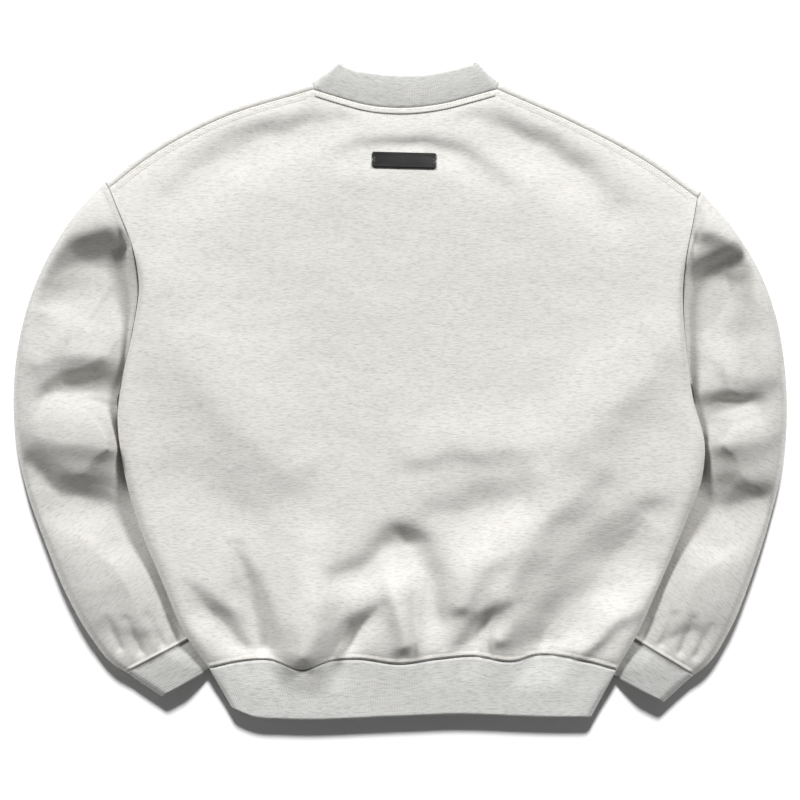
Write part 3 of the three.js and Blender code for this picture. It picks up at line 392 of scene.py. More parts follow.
class Outline:
    """The plan of one body panel: its hem, its sides and its top edge, moved in from the shoulder folds."""

    def __init__(self, neck_rows, inward):
        self.inward = inward
        low = [tuple(shoulder_point(fold, 0.0, inward)) for fold in SHOULDERS.values()]
        high = [tuple(shoulder_point(fold, 1.0, inward)) for fold in SHOULDERS.values()]
        self.left = curve_through(SIDE_LEFT[:-1] + low[:1])
        self.right = curve_through(SIDE_RIGHT[:-1] + low[1:])
        self.neck = curve_through(high[:1] + neck_rows[1:-1] + high[1:])
        self.hem = curve_through(HEM_SEAM)

    def top(self, u):
        u = np.asarray(u, float)
        left = shoulder_point(SHOULDERS["left"], np.clip(u / NECK_LEFT_U, 0, 1), self.inward)
        right = shoulder_point(SHOULDERS["right"], np.clip((1 - u) / (1 - NECK_RIGHT_U), 0, 1), self.inward)
        neck = self.neck((u - NECK_LEFT_U) / (NECK_RIGHT_U - NECK_LEFT_U))
        from_neck = np.where((u > NECK_RIGHT_U)[..., None], right, neck)
        return np.where((u < NECK_LEFT_U)[..., None], left, from_neck)

    def grid(self, u, v):
        hem, top = self.hem(u)[None], self.top(u)[None]
        left, right = self.left(v)[:, None], self.right(v)[:, None]
        across, up = u[None, :, None], v[:, None, None]
        corners = mix(mix(hem[:, :1], hem[:, -1:], across), mix(top[:, :1], top[:, -1:], across), up)
        return mix(hem, top, up) + mix(left, right, across) - corners


BACK = Outline(NECK_BACK, SHOULDER_SEAM_IN + SEAM_GAP)
FRONT = Outline(NECK_FRONT, SHOULDER_ROLL)
EDGE_X = {"left": reader(BACK.left, 1, 0), "right": reader(BACK.right, 1, 0)}
hem_seam_y = reader(BACK.hem, 0, 1)


def inside_side(x, y):
    return np.where(x < 0, x - EDGE_X["left"](y), EDGE_X["right"](y) - x)


def above_underarm(x, y):
    return y - np.where(x < 0, UNDERARM["left"], UNDERARM["right"])


def front_underside(x, y):
    """How high the front panel is lifted by the sleeves that are tucked under it."""
    along = 1 - smooth(0, TUCK_FADE, above_underarm(x, y) - TUCK_ABOVE_UNDERARM)
    across = 1 - smooth(TUCK_FULL, TUCK_END, inside_side(x, y))
    return TUCK_CLEAR * along * across


def side_mid(y):
    return mix(CORNER_MID, SIDE_MID, smooth(*CORNER_TO_SIDE, y))


def seam_ridge(distance, crease=1.8, ridge=1.1, away=2.6, spread=1.5):
    """The relief beside a seam: a sharp crease on it and a soft ridge next to it."""
    return (-crease * np.exp(-(distance / 0.9) ** 2) + ridge * np.exp(-((distance - away) / spread) ** 2)
            - 0.35 * ridge * np.exp(-((distance - away * 2.3) / (1.4 * spread)) ** 2))


def cloth_ripples(x, y, seed):
    return (0.9 * ripple(x, y, 62, seed) + 0.42 * ripple(x, y, 24, seed + 3.1)
            + 0.16 * ripple(x, y, 10, seed + 7.7))


def back_height(x, y, from_hem, from_top, fine=True):
    """Height of the body's upper side, with its small creases and seams only where they are fine enough."""
    shifted = bent(x, y, 34, 2.3, 5.9)
    folds = BODY_FOLD_DEPTH * fold_height(body_folds, *shifted)
    folds = folds * mix(0.65, 1, smooth(0, 18, from_hem)) * smooth(0, 24, from_top)
    level = BODY_LOFT - HEM_DROP * np.exp(-from_hem / HEM_REACH) - TOP_DROP * np.exp(-from_top / TOP_REACH)
    level = level + folds
    inward = inside_side(x, y)
    edge = mix(side_mid(y), level - ARMHOLE_DIP, smooth(ROLLED_UP_TO, FLAT_FROM, y))
    height = mix(edge, level, roll(inward, mix(WIDE_SIDE_ROLL, SIDE_ROLL, smooth(*WIDE_TO_NARROW, y))))
    if fine:
        away = smooth(0, 14, from_hem) * smooth(0, 14, from_top) * smooth(0, 12, inward)
        height = height + cloth_ripples(x, y, 1.7) * away
        height = height + fold_height(body_creases, *shifted) * smooth(0, 2, from_hem)
        height = height + seam_ridge(from_hem, 1.8, 0.8) * smooth(0, 4, inward)
        height = height + seam_ridge(from_top, 0.5, 0.35, 3.4, 2.0) * smooth(0, 4, inward)
    return height


def fine_shares(length, near_start, near_end, step, near_step):
    """Shares of a length that lie close together at its ends."""
    start = np.arange(0, near_start, near_step)
    end = length - np.arange(0, near_end, near_step)[::-1]
    middle = np.linspace(near_start, length - near_end, max(2, int((length - near_start - near_end) / step)))
    return np.concatenate([start, middle, end]) / length


def body_columns(step):
    """Shares across the body, from the left side over the neck to the right side."""
    rolled = SIDE_ROLL / PANEL_WIDTH
    arc = SIDE_ROLL * (1 - np.cos(np.linspace(0, math.pi / 2, 9)[:-1])) / PANEL_WIDTH
    inner = np.linspace(rolled, NECK_LEFT_U, int(SHOULDER_WIDTH / step))
    neck = np.linspace(NECK_LEFT_U, NECK_RIGHT_U, int(NECK_WIDTH / step))
    outer = np.linspace(NECK_RIGHT_U, 1 - rolled, int(SHOULDER_WIDTH / step))
    return np.concatenate([arc, inner[:-1], neck[:-1], outer, 1 - arc[::-1]])


def back_grid(step):
    u = body_columns(step)
    v = fine_shares(PANEL_LENGTH, 8, 10, step * 0.88, 0.7)
    plan = BACK.grid(u, v)
    x, y = plan[..., 0], plan[..., 1]
    top = BACK.top(u)[None]
    from_top = np.hypot(top[..., 0] - x, top[..., 1] - y)
    return np.dstack([x, y, back_height(x, y, np.maximum(0, y - hem_seam_y(x)), from_top)])


def front_grid(step=6):
    plan = FRONT.grid(body_columns(step), np.linspace(0, 1, int(PANEL_LENGTH / step)))
    x, y = plan[..., 0], plan[..., 1]
    rolled = np.where(above_underarm(x, y) < 0, roll(inside_side(x, y), SIDE_ROLL), 1)
    return np.dstack([x, y, mix(side_mid(y) - LAYER_GAP, front_underside(x, y), rolled)])


def wrap_grid(fold, steps=90):
    """The strip of the front panel that folds over a shoulder to the seam on the back."""
    turn = np.radians(np.linspace(-90, 62, 20))[:, None]
    shares = np.linspace(0, 1, steps)[None]
    inward = SHOULDER_ROLL * (1 - np.cos(turn)) * np.ones_like(shares)
    inward = mix(inward, SHOULDER_SEAM_IN, smooth(55, 62, np.degrees(turn)))
    plan = shoulder_point(fold, np.broadcast_to(shares, inward.shape), inward)
    height = SHOULDER_ROLL * (1 + np.sin(turn)) * np.ones_like(shares)
    wobble = 0.5 * ripple(plan[..., 0], plan[..., 1], 30, 4.4) * np.cos(turn)
    strip = np.dstack([plan, height + wobble])
    lap = [shoulder_point(fold, shares[0], SHOULDER_SEAM_IN + more) for more in (0.15, 0.5, 1.6, 3.4)]
    low = [strip[-1, :, 2] - drop for drop in (0.6, 2.0, 2.6, 2.8)]
    return np.concatenate([strip, np.dstack([lap, low])])


def tube_columns(step, is_top):
    """Distances across a flattened tube: its outer roll, the span between and its inner roll."""
    wide_steps = int(SLEEVE_WIDTH / step)
    arc = SHOULDER_ROLL * (1 - np.cos(np.linspace(0, math.pi / 2, 9)))
    inner = INNER_ROLL * (1 - np.cos(np.linspace(0, math.pi / 2, 6)))[::-1]
    span = np.linspace(0, 1, wide_steps if is_top else wide_steps // 2)[1:]
    return {"outer": arc, "span": span, "inner": inner[1:]}


def tube_places(columns, width):
    outer = np.broadcast_to(columns["outer"][None], (len(width), len(columns["outer"])))
    span = mix(SHOULDER_ROLL, width - INNER_ROLL, columns["span"][None])
    return np.concatenate([outer, span, width - columns["inner"][None]], axis=1)


def tube_grid(rows, columns, is_top, shape):
    """Points of a flattened tube's top or bottom: one row of points for each row of numbers."""
    outer, inner, loft = rows[:, 0:2], rows[:, 2:4], rows[:, 4:5]
    width = np.hypot(*(inner - outer).T)[:, None]
    place = tube_places(columns, width)
    share = place / width
    x = mix(outer[:, :1], inner[:, :1], share)
    y = mix(outer[:, 1:], inner[:, 1:], share)
    radius = np.where(share < 0.5, SHOULDER_ROLL, INNER_ROLL)
    edge = np.minimum(place, width - place)
    if not is_top:
        return np.dstack([x, y, mix(radius, 0, roll(edge, radius))]), place
    folds = SLEEVE_FOLD_DEPTH * fold_height(sleeve_folds, *bent(x, y, 30, 8.2, 3.6)) * shape["folds"]
    # Beside the body the cloth slopes down, over a shorter way where a fold raises it
    reach = shape["slope"] * np.maximum(LEAST_SLOPE, 1 - SLOPE_CUT_PER_RISE * np.clip(folds, -10, 8))
    tucked = (1 - np.clip(-inside_side(x, y) / reach, 0, 1)) ** SLOPE_POWER
    tucked = tucked * (1 - smooth(ROLLED_UP_TO, FLAT_FROM, y))
    free = loft + folds + cloth_ripples(x, y, 6.1) * 1.4 * shape["folds"]
    level = np.maximum(LOWEST_HOLLOW, mix(free, LOW_BESIDE_BODY, tucked))
    crown = np.where(share < 0.5, mix(2 * radius, level, roll(edge, shape["crown"])), level)
    return np.dstack([x, y, mix(radius, crown, roll(edge, radius))]), place


def armhole_start(side, columns, is_top):
    """How far a sleeve's first section is moved to meet the body."""
    fold = SHOULDERS[side]
    base = tube_grid(np.array(SLEEVES[side][:1], float), columns, is_top, SLEEVE_SHAPE)[0][0]
    start = base.copy()
    away = SEAM_GAP if side == "right" else -SEAM_GAP
    arc = columns["outer"]
    turn = np.arccos(1 - arc / SHOULDER_ROLL) * (1 if is_top else -1)
    end = unit(fold(0.0) - fold(0.04))
    start[:len(arc), :2] = shoulder_point(fold, np.zeros(len(arc)), arc) + end * SEAM_GAP
    start[:len(arc), 2] = SHOULDER_ROLL * (1 + np.sin(turn))
    spans = slice(len(arc), len(arc) + len(columns["span"]))
    y = mix(start[len(arc) - 1, 1], base[spans][-1, 1], columns["span"])
    edge_x = EDGE_X[side](y)
    rise = smooth(*(UNDERARM[side] + more for more in ARMHOLE_RISE), y)
    if is_top:
        from_top = np.hypot(edge_x - start[0, 0], y - start[0, 1]) * 0.9
        level = BODY_LOFT - TOP_DROP * np.exp(-from_top / TOP_REACH) - ARMHOLE_DIP
        z = mix(TUCKED_SLEEVE, mix(side_mid(y), level, smooth(ROLLED_UP_TO, FLAT_FROM, y)), rise)
    else:
        sleeve_top = mix(TUCKED_SLEEVE, 2 * SHOULDER_ROLL, rise)
        z = np.maximum(0, np.minimum(front_underside(edge_x, y), sleeve_top - ARMHOLE_DEPTH))
    start[spans] = np.stack([edge_x + away, y, z], axis=1)
    return start - base


def sleeve_grid(side, columns, is_top, shares):
    points, place = tube_grid(curve_through(SLEEVES[side])(shares), columns, is_top, SLEEVE_SHAPE)
    plan = 1 - smooth(0, JOIN_IN_PLAN, shares)
    height = 1 - smooth(0, JOIN_IN_HEIGHT, shares)
    to_armhole = armhole_start(side, columns, is_top)[None]
    points = points + to_armhole * np.stack([plan, plan, height], axis=1)[:, None]
    x, y, z = points[..., 0], points[..., 1], points[..., 2]
    across = place / place[:, -1:]
    if is_top:
        z = np.maximum(z, LOWEST_TUCK)
        from_body = (shares * SLEEVE_LENGTH)[:, None]
        from_cuff = ((1 - shares) * SLEEVE_LENGTH)[:, None]
        open_share = smooth(0, 14, place) * smooth(0, 10, place[:, -1:] - place)
        near_body = seam_ridge(from_body * mix(1, 0.5, across), 1.4, 1.6, 4.5, 2.6)
        near_cuff = seam_ridge(from_cuff * mix(1, 0.45, across))
        relief = near_body * smooth(60, 110, y) + near_cuff + fold_height(sleeve_creases, x, y)
        z = z + relief * open_share
    else:
        under_body = smooth(0.45, 0.8, across) * (1 - smooth(0.03, 0.14, shares))[:, None]
        z = np.maximum(z, 0) + UNDERARM_LIFT * under_body
    return np.dstack([x, y, z])


def cuff_grid(side, last, columns, is_top, shares):
    cuff = CUFFS[side]
    seam = np.array(cuff["seam"], float).ravel()
    edge = np.array(cuff["edge"], float).ravel()
    rows = np.column_stack([mix(seam, edge, shares[:, None]), np.full(len(shares), cuff["loft"])])
    points, place = tube_grid(rows, columns, is_top, CUFF_SHAPE)
    start = last.copy()
    start[:, :2] += cuff_way(side) * RIB_GAP
    fade = 1 - smooth(0, 0.4, shares)
    return points + (start - points[0])[None] * fade[:, None, None], place


def ring_of(top, bottom):
    return np.concatenate([top, bottom[:, 1:-1][:, ::-1]], axis=1)


def mesh_piece(name, corners, faces, material):
    """A piece from points in metres, shaded smooth and put into the scene."""
    mesh = bpy.data.meshes.new(name)
    mesh.from_pydata(corners, [], faces)
    mesh.polygons.foreach_set("use_smooth", [True] * len(mesh.polygons))
    mesh.materials.append(material)
    piece = bpy.data.objects.new(name, mesh)
    bpy.context.scene.collection.objects.link(piece)
    return piece


def dress(piece, node=None):
    """Fixes a piece to the garment's body, and lets it stand for a solid."""
    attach(piece, "root")
    if node:
        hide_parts(node)
    return piece


def cloth_piece(name, node, points, slot, thickness, uv=None, closed=False, flip=False, wrapped=True):
    """A wall of cloth from a grid of points in millimetres, with a thickness behind it.

    Its cloth coordinates are its places in plan, unless others are given. A closed piece's last column
    meets its first, and when its coordinates are wrapped they run on over that seam.
    """
    uv = points[..., :2] if uv is None else uv
    down, across = points.shape[:2]
    index = np.arange(down * across).reshape(down, across)
    a, b = index[:-1], index[1:]
    keep = slice(None) if closed else slice(0, -1)
    corners = a, np.roll(a, -1, axis=1), np.roll(b, -1, axis=1), b
    faces = np.stack([corner[:, keep] for corner in corners], axis=-1).reshape(-1, 4)
    if flip:
        faces = faces[:, ::-1]
    piece = mesh_piece(name, (points.reshape(-1, 3) * MM).tolist(), faces.tolist(), finishes()[slot])
    flat_uv = uv.reshape(-1, 2)[faces.ravel()] * MM
    if closed and wrapped:
        start = np.min(uv[..., 0]) * MM
        girth = np.ptp(uv[..., 0]) * MM
        over_seam = flat_uv.reshape(-1, 4, 2)[..., 0]
        crosses = np.ptp(over_seam, axis=1) > 0.6 * girth
        over_seam += np.where(crosses[:, None] & (over_seam < 0.5 * girth + start), girth, 0)
    piece.data.uv_layers.new(name="cloth").data.foreach_set("uv", flat_uv.ravel())
    wall = piece.modifiers.new("Cloth thickness", "SOLIDIFY")
    wall.thickness = thickness * MM
    wall.offset = -1
    wall.use_rim = True
    return dress(piece, node)


def surface_tree(*names):
    """Finds the top of some pieces below a point in plan."""
    corners = []
    faces = []
    for name in names:
        mesh = bpy.data.objects[name].data
        start = len(corners)
        corners.extend(vertex.co.copy() for vertex in mesh.vertices)
        faces.extend([start + i for i in polygon.vertices] for polygon in mesh.polygons)
    return BVHTree.FromPolygons(corners, faces)


def on_top(tree, x, y):
    place, normal, _, _ = tree.ray_cast(Vector((x * MM, y * MM, 0.2)), Vector((0, 0, -1)))
    if place is None:
        raise RuntimeError(f"nothing under {x:.1f}, {y:.1f}")
    return place, normal


def laid_on(tree, x, y, rise):
    """A point in millimetres that lies a little above a surface."""
    return x, y, on_top(tree, x, y)[0].z / MM + rise


def stitch_row(name, ends, radius, sides=6):
    """Short raised stitches: one soft capsule between each pair of points in metres."""
    corners = []
    faces = []
    profile = [(0.0, 0.35, -0.2), (0.22, 0.9, 0.35), (0.5, 1.0, 0.55), (0.78, 0.9, 0.35), (1.0, 0.35, -0.2)]
    for start, end, up in ends:
        way = end - start
        side = way.cross(up).normalized()
        lift = side.cross(way).normalized()
        first = len(corners)
        for share, width, height in profile:
            middle = start + way * share + lift * (height * radius * MM)
            for k in range(sides):
                turn = 2 * math.pi * k / sides
                out = side * math.cos(turn) + lift * math.sin(turn)
                corners.append(middle + out * (radius * width * MM))
        last = len(corners) - sides
        for ring in range(first, last, sides):
            for k in range(sides):
                a, b = ring + k, ring + (k + 1) % sides
                faces.append((a, a + sides, b + sides, b))
        faces.append(tuple(range(first, first + sides)))
        faces.append(tuple(range(last + sides - 1, last - 1, -1)))
    return dress(mesh_piece(name, corners, faces, finishes()["thread"]))


def run_along(tree, route, spacing, length, turn=0.0, lift=0.1):
    """Stitch ends along a route in plan, laid on a surface and turned by an angle."""
    _, reach = spans_along(route)
    lifted = Vector((0, 0, lift * MM))
    ends = []
    for s in np.arange(spacing / 2, reach[-1] - spacing / 2, spacing):
        x, y = (np.interp(s, reach, route[:, k]) for k in (0, 1))
        ahead = np.array([np.interp(s + 0.5, reach, route[:, k]) for k in (0, 1)])
        half_x, half_y = np.array(turned(*unit(ahead - (x, y)), turn)) * length / 2
        a, up = on_top(tree, x - half_x, y - half_y)
        b, _ = on_top(tree, x + half_x, y + half_y)
        ends.append((a + lifted, b + lifted, up))
    return ends


# Shader node groups and materials

def new_group(name, inputs, outputs):
    """A node group with its wiring, the values it is given and the node that puts out its results."""
    group = bpy.data.node_groups.new(name, "ShaderNodeTree")
    for label, kind, value in inputs:
        socket = group.interface.new_socket(name=label, in_out="INPUT", socket_type=kind)
        if value is not None:
            socket.default_value = value
    for label, kind in outputs:
        group.interface.new_socket(name=label, in_out="OUTPUT", socket_type=kind)
    given = group.nodes.new("NodeGroupInput").outputs
    return group, Wiring(group), given, group.nodes.new("NodeGroupOutput")


def new_material(name):
    """A material with its wiring and its shader."""
    material = bpy.data.materials.new(name)
    material.use_nodes = True
    return material, Wiring(material.node_tree), material.node_tree.nodes["Principled BSDF"]


class Wiring:
    """Adds nodes to a tree. Each input takes a value, or another node's output."""

    def __init__(self, tree):
        self.nodes = tree.nodes
        self.links = tree.links

    def fill(self, node, inputs):
        for key, value in inputs.items():
            if isinstance(value, bpy.types.NodeSocket):
                self.links.new(value, node.inputs[key])
            else:
                node.inputs[key].default_value = value
        return node

    def add(self, kind, inputs):
        return self.fill(self.nodes.new(kind), inputs)

    def placed(self, group, inputs):
        node = self.nodes.new("ShaderNodeGroup")
        node.node_tree = group
        return self.fill(node, inputs).outputs

    def math(self, operation, a, b=0.0):
        node = self.add("ShaderNodeMath", {0: a, 1: b})
        node.operation = operation
        return node.outputs[0]

    def blend(self, share, a, b):
        node = self.nodes.new("ShaderNodeMix")
        node.data_type = "RGBA"
        return self.fill(node, {"Factor": share, "A": a, "B": b}).outputs["Result"]

    def remap(self, value, low, high, to_low=0.0, to_high=1.0):
        ends = {"Value": value, "From Min": low, "From Max": high, "To Min": to_low, "To Max": to_high}
        return self.add("ShaderNodeMapRange", ends).outputs["Result"]

    def streaks(self, vector, across, along, seed, detail=2.0, roughness=0.6, distortion=0.0):
        """Noise over the cloth, drawn out to a size across and a size along, both in metres."""
        split = self.add("ShaderNodeSeparateXYZ", {0: vector}).outputs
        sized = {0: self.math("DIVIDE", split[0], across), 1: self.math("DIVIDE", split[1], along), 2: seed}
        place = self.add("ShaderNodeCombineXYZ", sized).outputs[0]
        return self.add("ShaderNodeTexNoise", {
            "Vector": place, "Scale": 1.0, "Detail": detail, "Roughness": roughness, "Distortion": distortion,
        }).outputs["Fac"]

    def bump(self, height, strength, distance):
        relief = {"Strength": strength, "Distance": distance, "Height": height}
        return self.add("ShaderNodeBump", relief).outputs["Normal"]


def heather_group():
    """Flecks of darker, paler and warmer fibre, drawn out along the knit's courses."""
    group, wiring, given, result = new_group("Heather fibres", [
        ("Vector", "NodeSocketVector", None),
        ("Base", "NodeSocketColor", (0.7, 0.7, 0.68, 1)),
        ("Dark fibre", "NodeSocketColor", (0.4, 0.4, 0.39, 1)),
        ("Pale fibre", "NodeSocketColor", (0.85, 0.84, 0.82, 1)),
        ("Warm fibre", "NodeSocketColor", (0.74, 0.69, 0.64, 1)),
        ("Streak length", "NodeSocketFloat", 0.007),
        ("Streak height", "NodeSocketFloat", 0.0011),
        ("Dark amount", "NodeSocketFloat", 0.4),
        ("Pale amount", "NodeSocketFloat", 0.4),
    ], [("Color", "NodeSocketColor")])
    vector = given["Vector"]
    size = given["Streak length"], given["Streak height"]
    dark = wiring.remap(wiring.streaks(vector, *size, 1.3, 3.0, 0.65, 0.3), 0.46, 0.7)
    pale = wiring.remap(wiring.streaks(vector, *size, 7.9, 2.0, 0.6, 0.3), 0.5, 0.75)
    warm = wiring.remap(wiring.streaks(vector, 0.03, 0.009, 4.1, 3.0), 0.52, 0.75, 0.0, 0.55)
    colour = wiring.blend(warm, given["Base"], given["Warm fibre"])
    for mask, fibre in ((dark, "Dark"), (pale, "Pale")):
        share = wiring.math("MULTIPLY", mask, given[f"{fibre} amount"])
        colour = wiring.blend(share, colour, given[f"{fibre} fibre"])
    wiring.fill(result, {"Color": colour})
    return group


def nap_group():
    """Relief of brushed cloth: soft fuzz over faint courses."""
    group, wiring, given, result = new_group("Brushed nap", [
        ("Vector", "NodeSocketVector", None),
        ("Fuzz size", "NodeSocketFloat", 0.0012),
        ("Course height", "NodeSocketFloat", 0.0016),
    ], [("Height", "NodeSocketFloat")])
    fuzz = wiring.streaks(given["Vector"], given["Fuzz size"], given["Fuzz size"], 2.2, 3.0)
    course = wiring.streaks(given["Vector"], 0.008, given["Course height"], 5.5)
    wiring.fill(result, {"Height": wiring.math("ADD", wiring.math("MULTIPLY", fuzz, 0.6), course)})
    return group


def rib_group():
    """Relief of rib knit: narrow ribs that run away from the seam."""
    group, wiring, given, result = new_group("Rib wales", [
        ("Vector", "NodeSocketVector", None),
        ("Pitch", "NodeSocketFloat", 0.0027),
    ], [("Height", "NodeSocketFloat")])
    across = wiring.add("ShaderNodeSeparateXYZ", {0: given["Vector"]}).outputs[0]
    wobble = wiring.math("MULTIPLY", wiring.streaks(given["Vector"], 0.01, 0.03, 3.3), 0.6)
    turn = wiring.math("ADD", wiring.math("DIVIDE", across, given["Pitch"]), wobble)
    wave = wiring.math("SINE", wiring.math("MULTIPLY", turn, 2 * math.pi))
    wiring.fill(result, {"Height": wiring.remap(wave, -1.0, 0.6)})
    return group


def grain_group():
    """A fine grain in the tone, the gloss and the relief of a dense surface."""
    group, wiring, given, result = new_group("Fine grain", [
        ("Vector", "NodeSocketVector", None),
        ("Scale", "NodeSocketFloat", 2000),
        ("Dark tone", "NodeSocketColor", (0.1, 0.1, 0.1, 1)),
        ("Pale tone", "NodeSocketColor", (0.2, 0.2, 0.2, 1)),
        ("Least roughness", "NodeSocketFloat", 0.4),
        ("Most roughness", "NodeSocketFloat", 0.6),
    ], [("Color", "NodeSocketColor"), ("Roughness", "NodeSocketFloat"), ("Height", "NodeSocketFloat")])
    noise_inputs = {"Vector": given["Vector"], "Scale": given["Scale"], "Detail": 3.0}
    grain = wiring.add("ShaderNodeTexNoise", noise_inputs).outputs["Fac"]
    wiring.fill(result, {
        "Color": wiring.blend(grain, given["Dark tone"], given["Pale tone"]),
        "Roughness": wiring.remap(grain, 0.3, 0.7, given["Least roughness"], given["Most roughness"]),
        "Height": grain,
    })
    return group


def rgb(colour, tone=1.0):
    """A colour picked as seen on screen, made darker or paler, as the shader's linear colour."""
    seen = [min(1, c * tone) for c in colour]
    return tuple(c / 12.92 if c <= 0.04045 else ((c + 0.055) / 1.055) ** 2.4 for c in seen) + (1.0,)


def knit_material(name, fibres, heather, nap, rib=None, strength=0.35):
    _, wiring, shader = new_material(name)
    place = wiring.nodes.new("ShaderNodeUVMap")
    place.uv_map = "cloth"
    vector = {"Vector": place.outputs["UV"]}
    height = wiring.placed(nap, vector)["Height"]
    if rib:
        ribs = wiring.math("MULTIPLY", wiring.placed(rib, vector)["Height"], RIB_RELIEF)
        height = wiring.math("ADD", ribs, height)
    wiring.fill(shader, {
        "Base Color": wiring.placed(heather, {**vector, **fibres})["Color"],
        "Normal": wiring.bump(height, strength, 0.0006),
        "Roughness": 0.92,
        "Specular IOR Level": 0.15,
        "Sheen Weight": 0.12,
        "Sheen Roughness": 0.5,
    })


def dense_material(name, grain, colour, roughness, grain_size, strength):
    _, wiring, shader = new_material(name)
    place = wiring.nodes.new("ShaderNodeTexCoord").outputs["Object"]
    surface = wiring.placed(grain, {
        "Vector": place, "Scale": 1 / grain_size,
        "Dark tone": rgb(colour, 0.86), "Pale tone": rgb(colour, 1.12),
        "Least roughness": roughness - 0.06, "Most roughness": roughness + 0.08,
    })
    wiring.fill(shader, {
        "Base Color": surface["Color"],
        "Roughness": surface["Roughness"],
        "Normal": wiring.bump(surface["Height"], strength, 0.0003),
    })


def finishes():
    """The garment's materials, made once and found again by name."""
    names = {"fleece": "Heather fleece", "rib": "Heather rib",
             "thread": "Stitching thread", "rubber": "Label rubber"}
    if names["fleece"] not in bpy.data.materials:
        colours = bpy.context.scene.sweatshirt_colours
        heather, nap, grain = heather_group(), nap_group(), grain_group()
        knit_material(names["fleece"], {
            "Base": rgb(colours.fleece), "Dark fibre": rgb(colours.fleece, 0.76),
            "Pale fibre": rgb(colours.fleece, 1.05), "Warm fibre": rgb(colours.warm_fibre),
            "Streak length": 0.0062, "Streak height": 0.0013, "Dark amount": 0.52, "Pale amount": 0.6,
        }, heather, nap)
        knit_material(names["rib"], {
            "Base": rgb(colours.rib), "Dark fibre": rgb(colours.rib, 0.76),
            "Pale fibre": rgb(colours.rib, 1.07), "Warm fibre": rgb(colours.warm_fibre, 0.97),
            "Streak length": 0.008, "Streak height": 0.001, "Dark amount": 0.7, "Pale amount": 0.55,
        }, heather, nap, rib_group(), 0.4)
        dense_material(names["thread"], grain, colours.thread, 0.8, 0.0004, 0.3)
        dense_material(names["rubber"], grain, colours.rubber, 0.42, 0.0005, 0.25)
    return {slot: bpy.data.materials[name] for slot, name in names.items()}


class SweatshirtSizes(bpy.types.PropertyGroup):
    """Sizes that a user would change."""
    fleece_thickness: bpy.props.FloatProperty(
        name="Fleece thickness", description="Thickness of the body and sleeve cloth in millimetres",
        default=2.4, min=1.0, max=4.0)
    rib_thickness: bpy.props.FloatProperty(
        name="Rib thickness", description="Thickness of the doubled rib in millimetres",
        default=3.6, min=2.0, max=6.0)
    grid_step: bpy.props.FloatProperty(
        name="Cloth detail", description="Distance between the points of the cloth in millimetres",
        default=3.1, min=2.8, max=12.0)
    stitch_spacing: bpy.props.FloatProperty(
        name="Stitch spacing", description="Distance between topstitches in millimetres",
        default=3.0, min=1.5, max=6.0)


class SweatshirtColours(bpy.types.PropertyGroup):
    """Colours that a user would change."""
    fleece: bpy.props.FloatVectorProperty(
        name="Fleece", description="Main colour of the body and sleeves", subtype="COLOR_GAMMA",
        size=3, default=(0.868, 0.862, 0.845), min=0, max=1)
    rib: bpy.props.FloatVectorProperty(
        name="Rib", description="Main colour of the collar, cuffs and hem band", subtype="COLOR_GAMMA",
        size=3, default=(0.80, 0.80, 0.79), min=0, max=1)
    warm_fibre: bpy.props.FloatVectorProperty(
        name="Warm fibre", description="Warm fibres mixed into the knit", subtype="COLOR_GAMMA",
        size=3, default=(0.88, 0.86, 0.83), min=0, max=1)
    thread: bpy.props.FloatVectorProperty(
        name="Thread", description="Colour of the stitching", subtype="COLOR_GAMMA",
        size=3, default=(0.80, 0.775, 0.745), min=0, max=1)
    rubber: bpy.props.FloatVectorProperty(
        name="Label rubber", description="Colour of the label", subtype="COLOR_GAMMA",
        size=3, default=(0.045, 0.045, 0.052), min=0, max=1)


class SWEATSHIRT_OT_body(bpy.types.Operator):
    """Make the back panel, the front panel and the strips over the shoulders"""
    bl_idname = "sweatshirt.body"
    bl_label = "Body panels"

    def execute(self, context):
        sizes = context.scene.sweatshirt_sizes
        thick = sizes.fleece_thickness
        back = cloth_piece("back_panel_cloth", "back_panel", back_grid(sizes.grid_step), "fleece", thick)
        front = cloth_piece("front_panel_cloth", "front_panel", front_grid(), "fleece", thick, flip=True)
        for side, fold in SHOULDERS.items():
            cloth_piece(f"shoulder_strip_{side}", None, wrap_grid(fold), "fleece", thick,
                                      flip=side == "left")
        return {"FINISHED"}


def leaning_courses(points, side):
    """Cloth coordinates of a sleeve: its courses lie level near the shoulder and slant near the cuff."""
    way = 1 if side == "left" else -1
    lean = way * math.radians(34) * smooth(60, -210, points[..., 1])
    return np.dstack(turned(points[..., 0] + way * 330, points[..., 1] + 130, -lean))


def cuff_way(side):
    """The direction in plan from a cuff's seam to its free edge."""
    return unit(np.subtract(CUFFS[side]["edge"][0], CUFFS[side]["seam"][0]))


def sleeve_pieces(side, sizes):
    """One sleeve and its cuff."""
    shares = fine_shares(SLEEVE_LENGTH, 16, 8, sizes.grid_step, 0.9)
    cuff_shares = np.linspace(0, 1, 20)
    halves = []
    for is_top in (True, False):
        columns = tube_columns(sizes.grid_step, is_top)
        sleeve = sleeve_grid(side, columns, is_top, shares)
        halves.append((sleeve, *cuff_grid(side, sleeve[-1], columns, is_top, cuff_shares)))
    (top, cuff_top, top_place), (bottom, cuff_bottom, bottom_place) = halves
    points = ring_of(top, bottom)
    cloth = cloth_piece(f"sleeve_{side}_cloth", f"sleeve_{side}", points, "fleece", sizes.fleece_thickness,
                        leaning_courses(points, side), closed=True, flip=side == "left", wrapped=False)
    back_again = 2 * top_place[:, -1:] - bottom_place
    across = np.concatenate([top_place, back_again[:, 1:-1][:, ::-1]], axis=1)
    along = np.broadcast_to((cuff_shares * CUFF_LENGTH)[:, None], across.shape)
    band = cloth_piece(f"cuff_{side}_rib", f"cuff_{side}", ring_of(cuff_top, cuff_bottom), "rib",
                       sizes.rib_thickness, np.dstack([across, along]), closed=True, flip=side == "left")


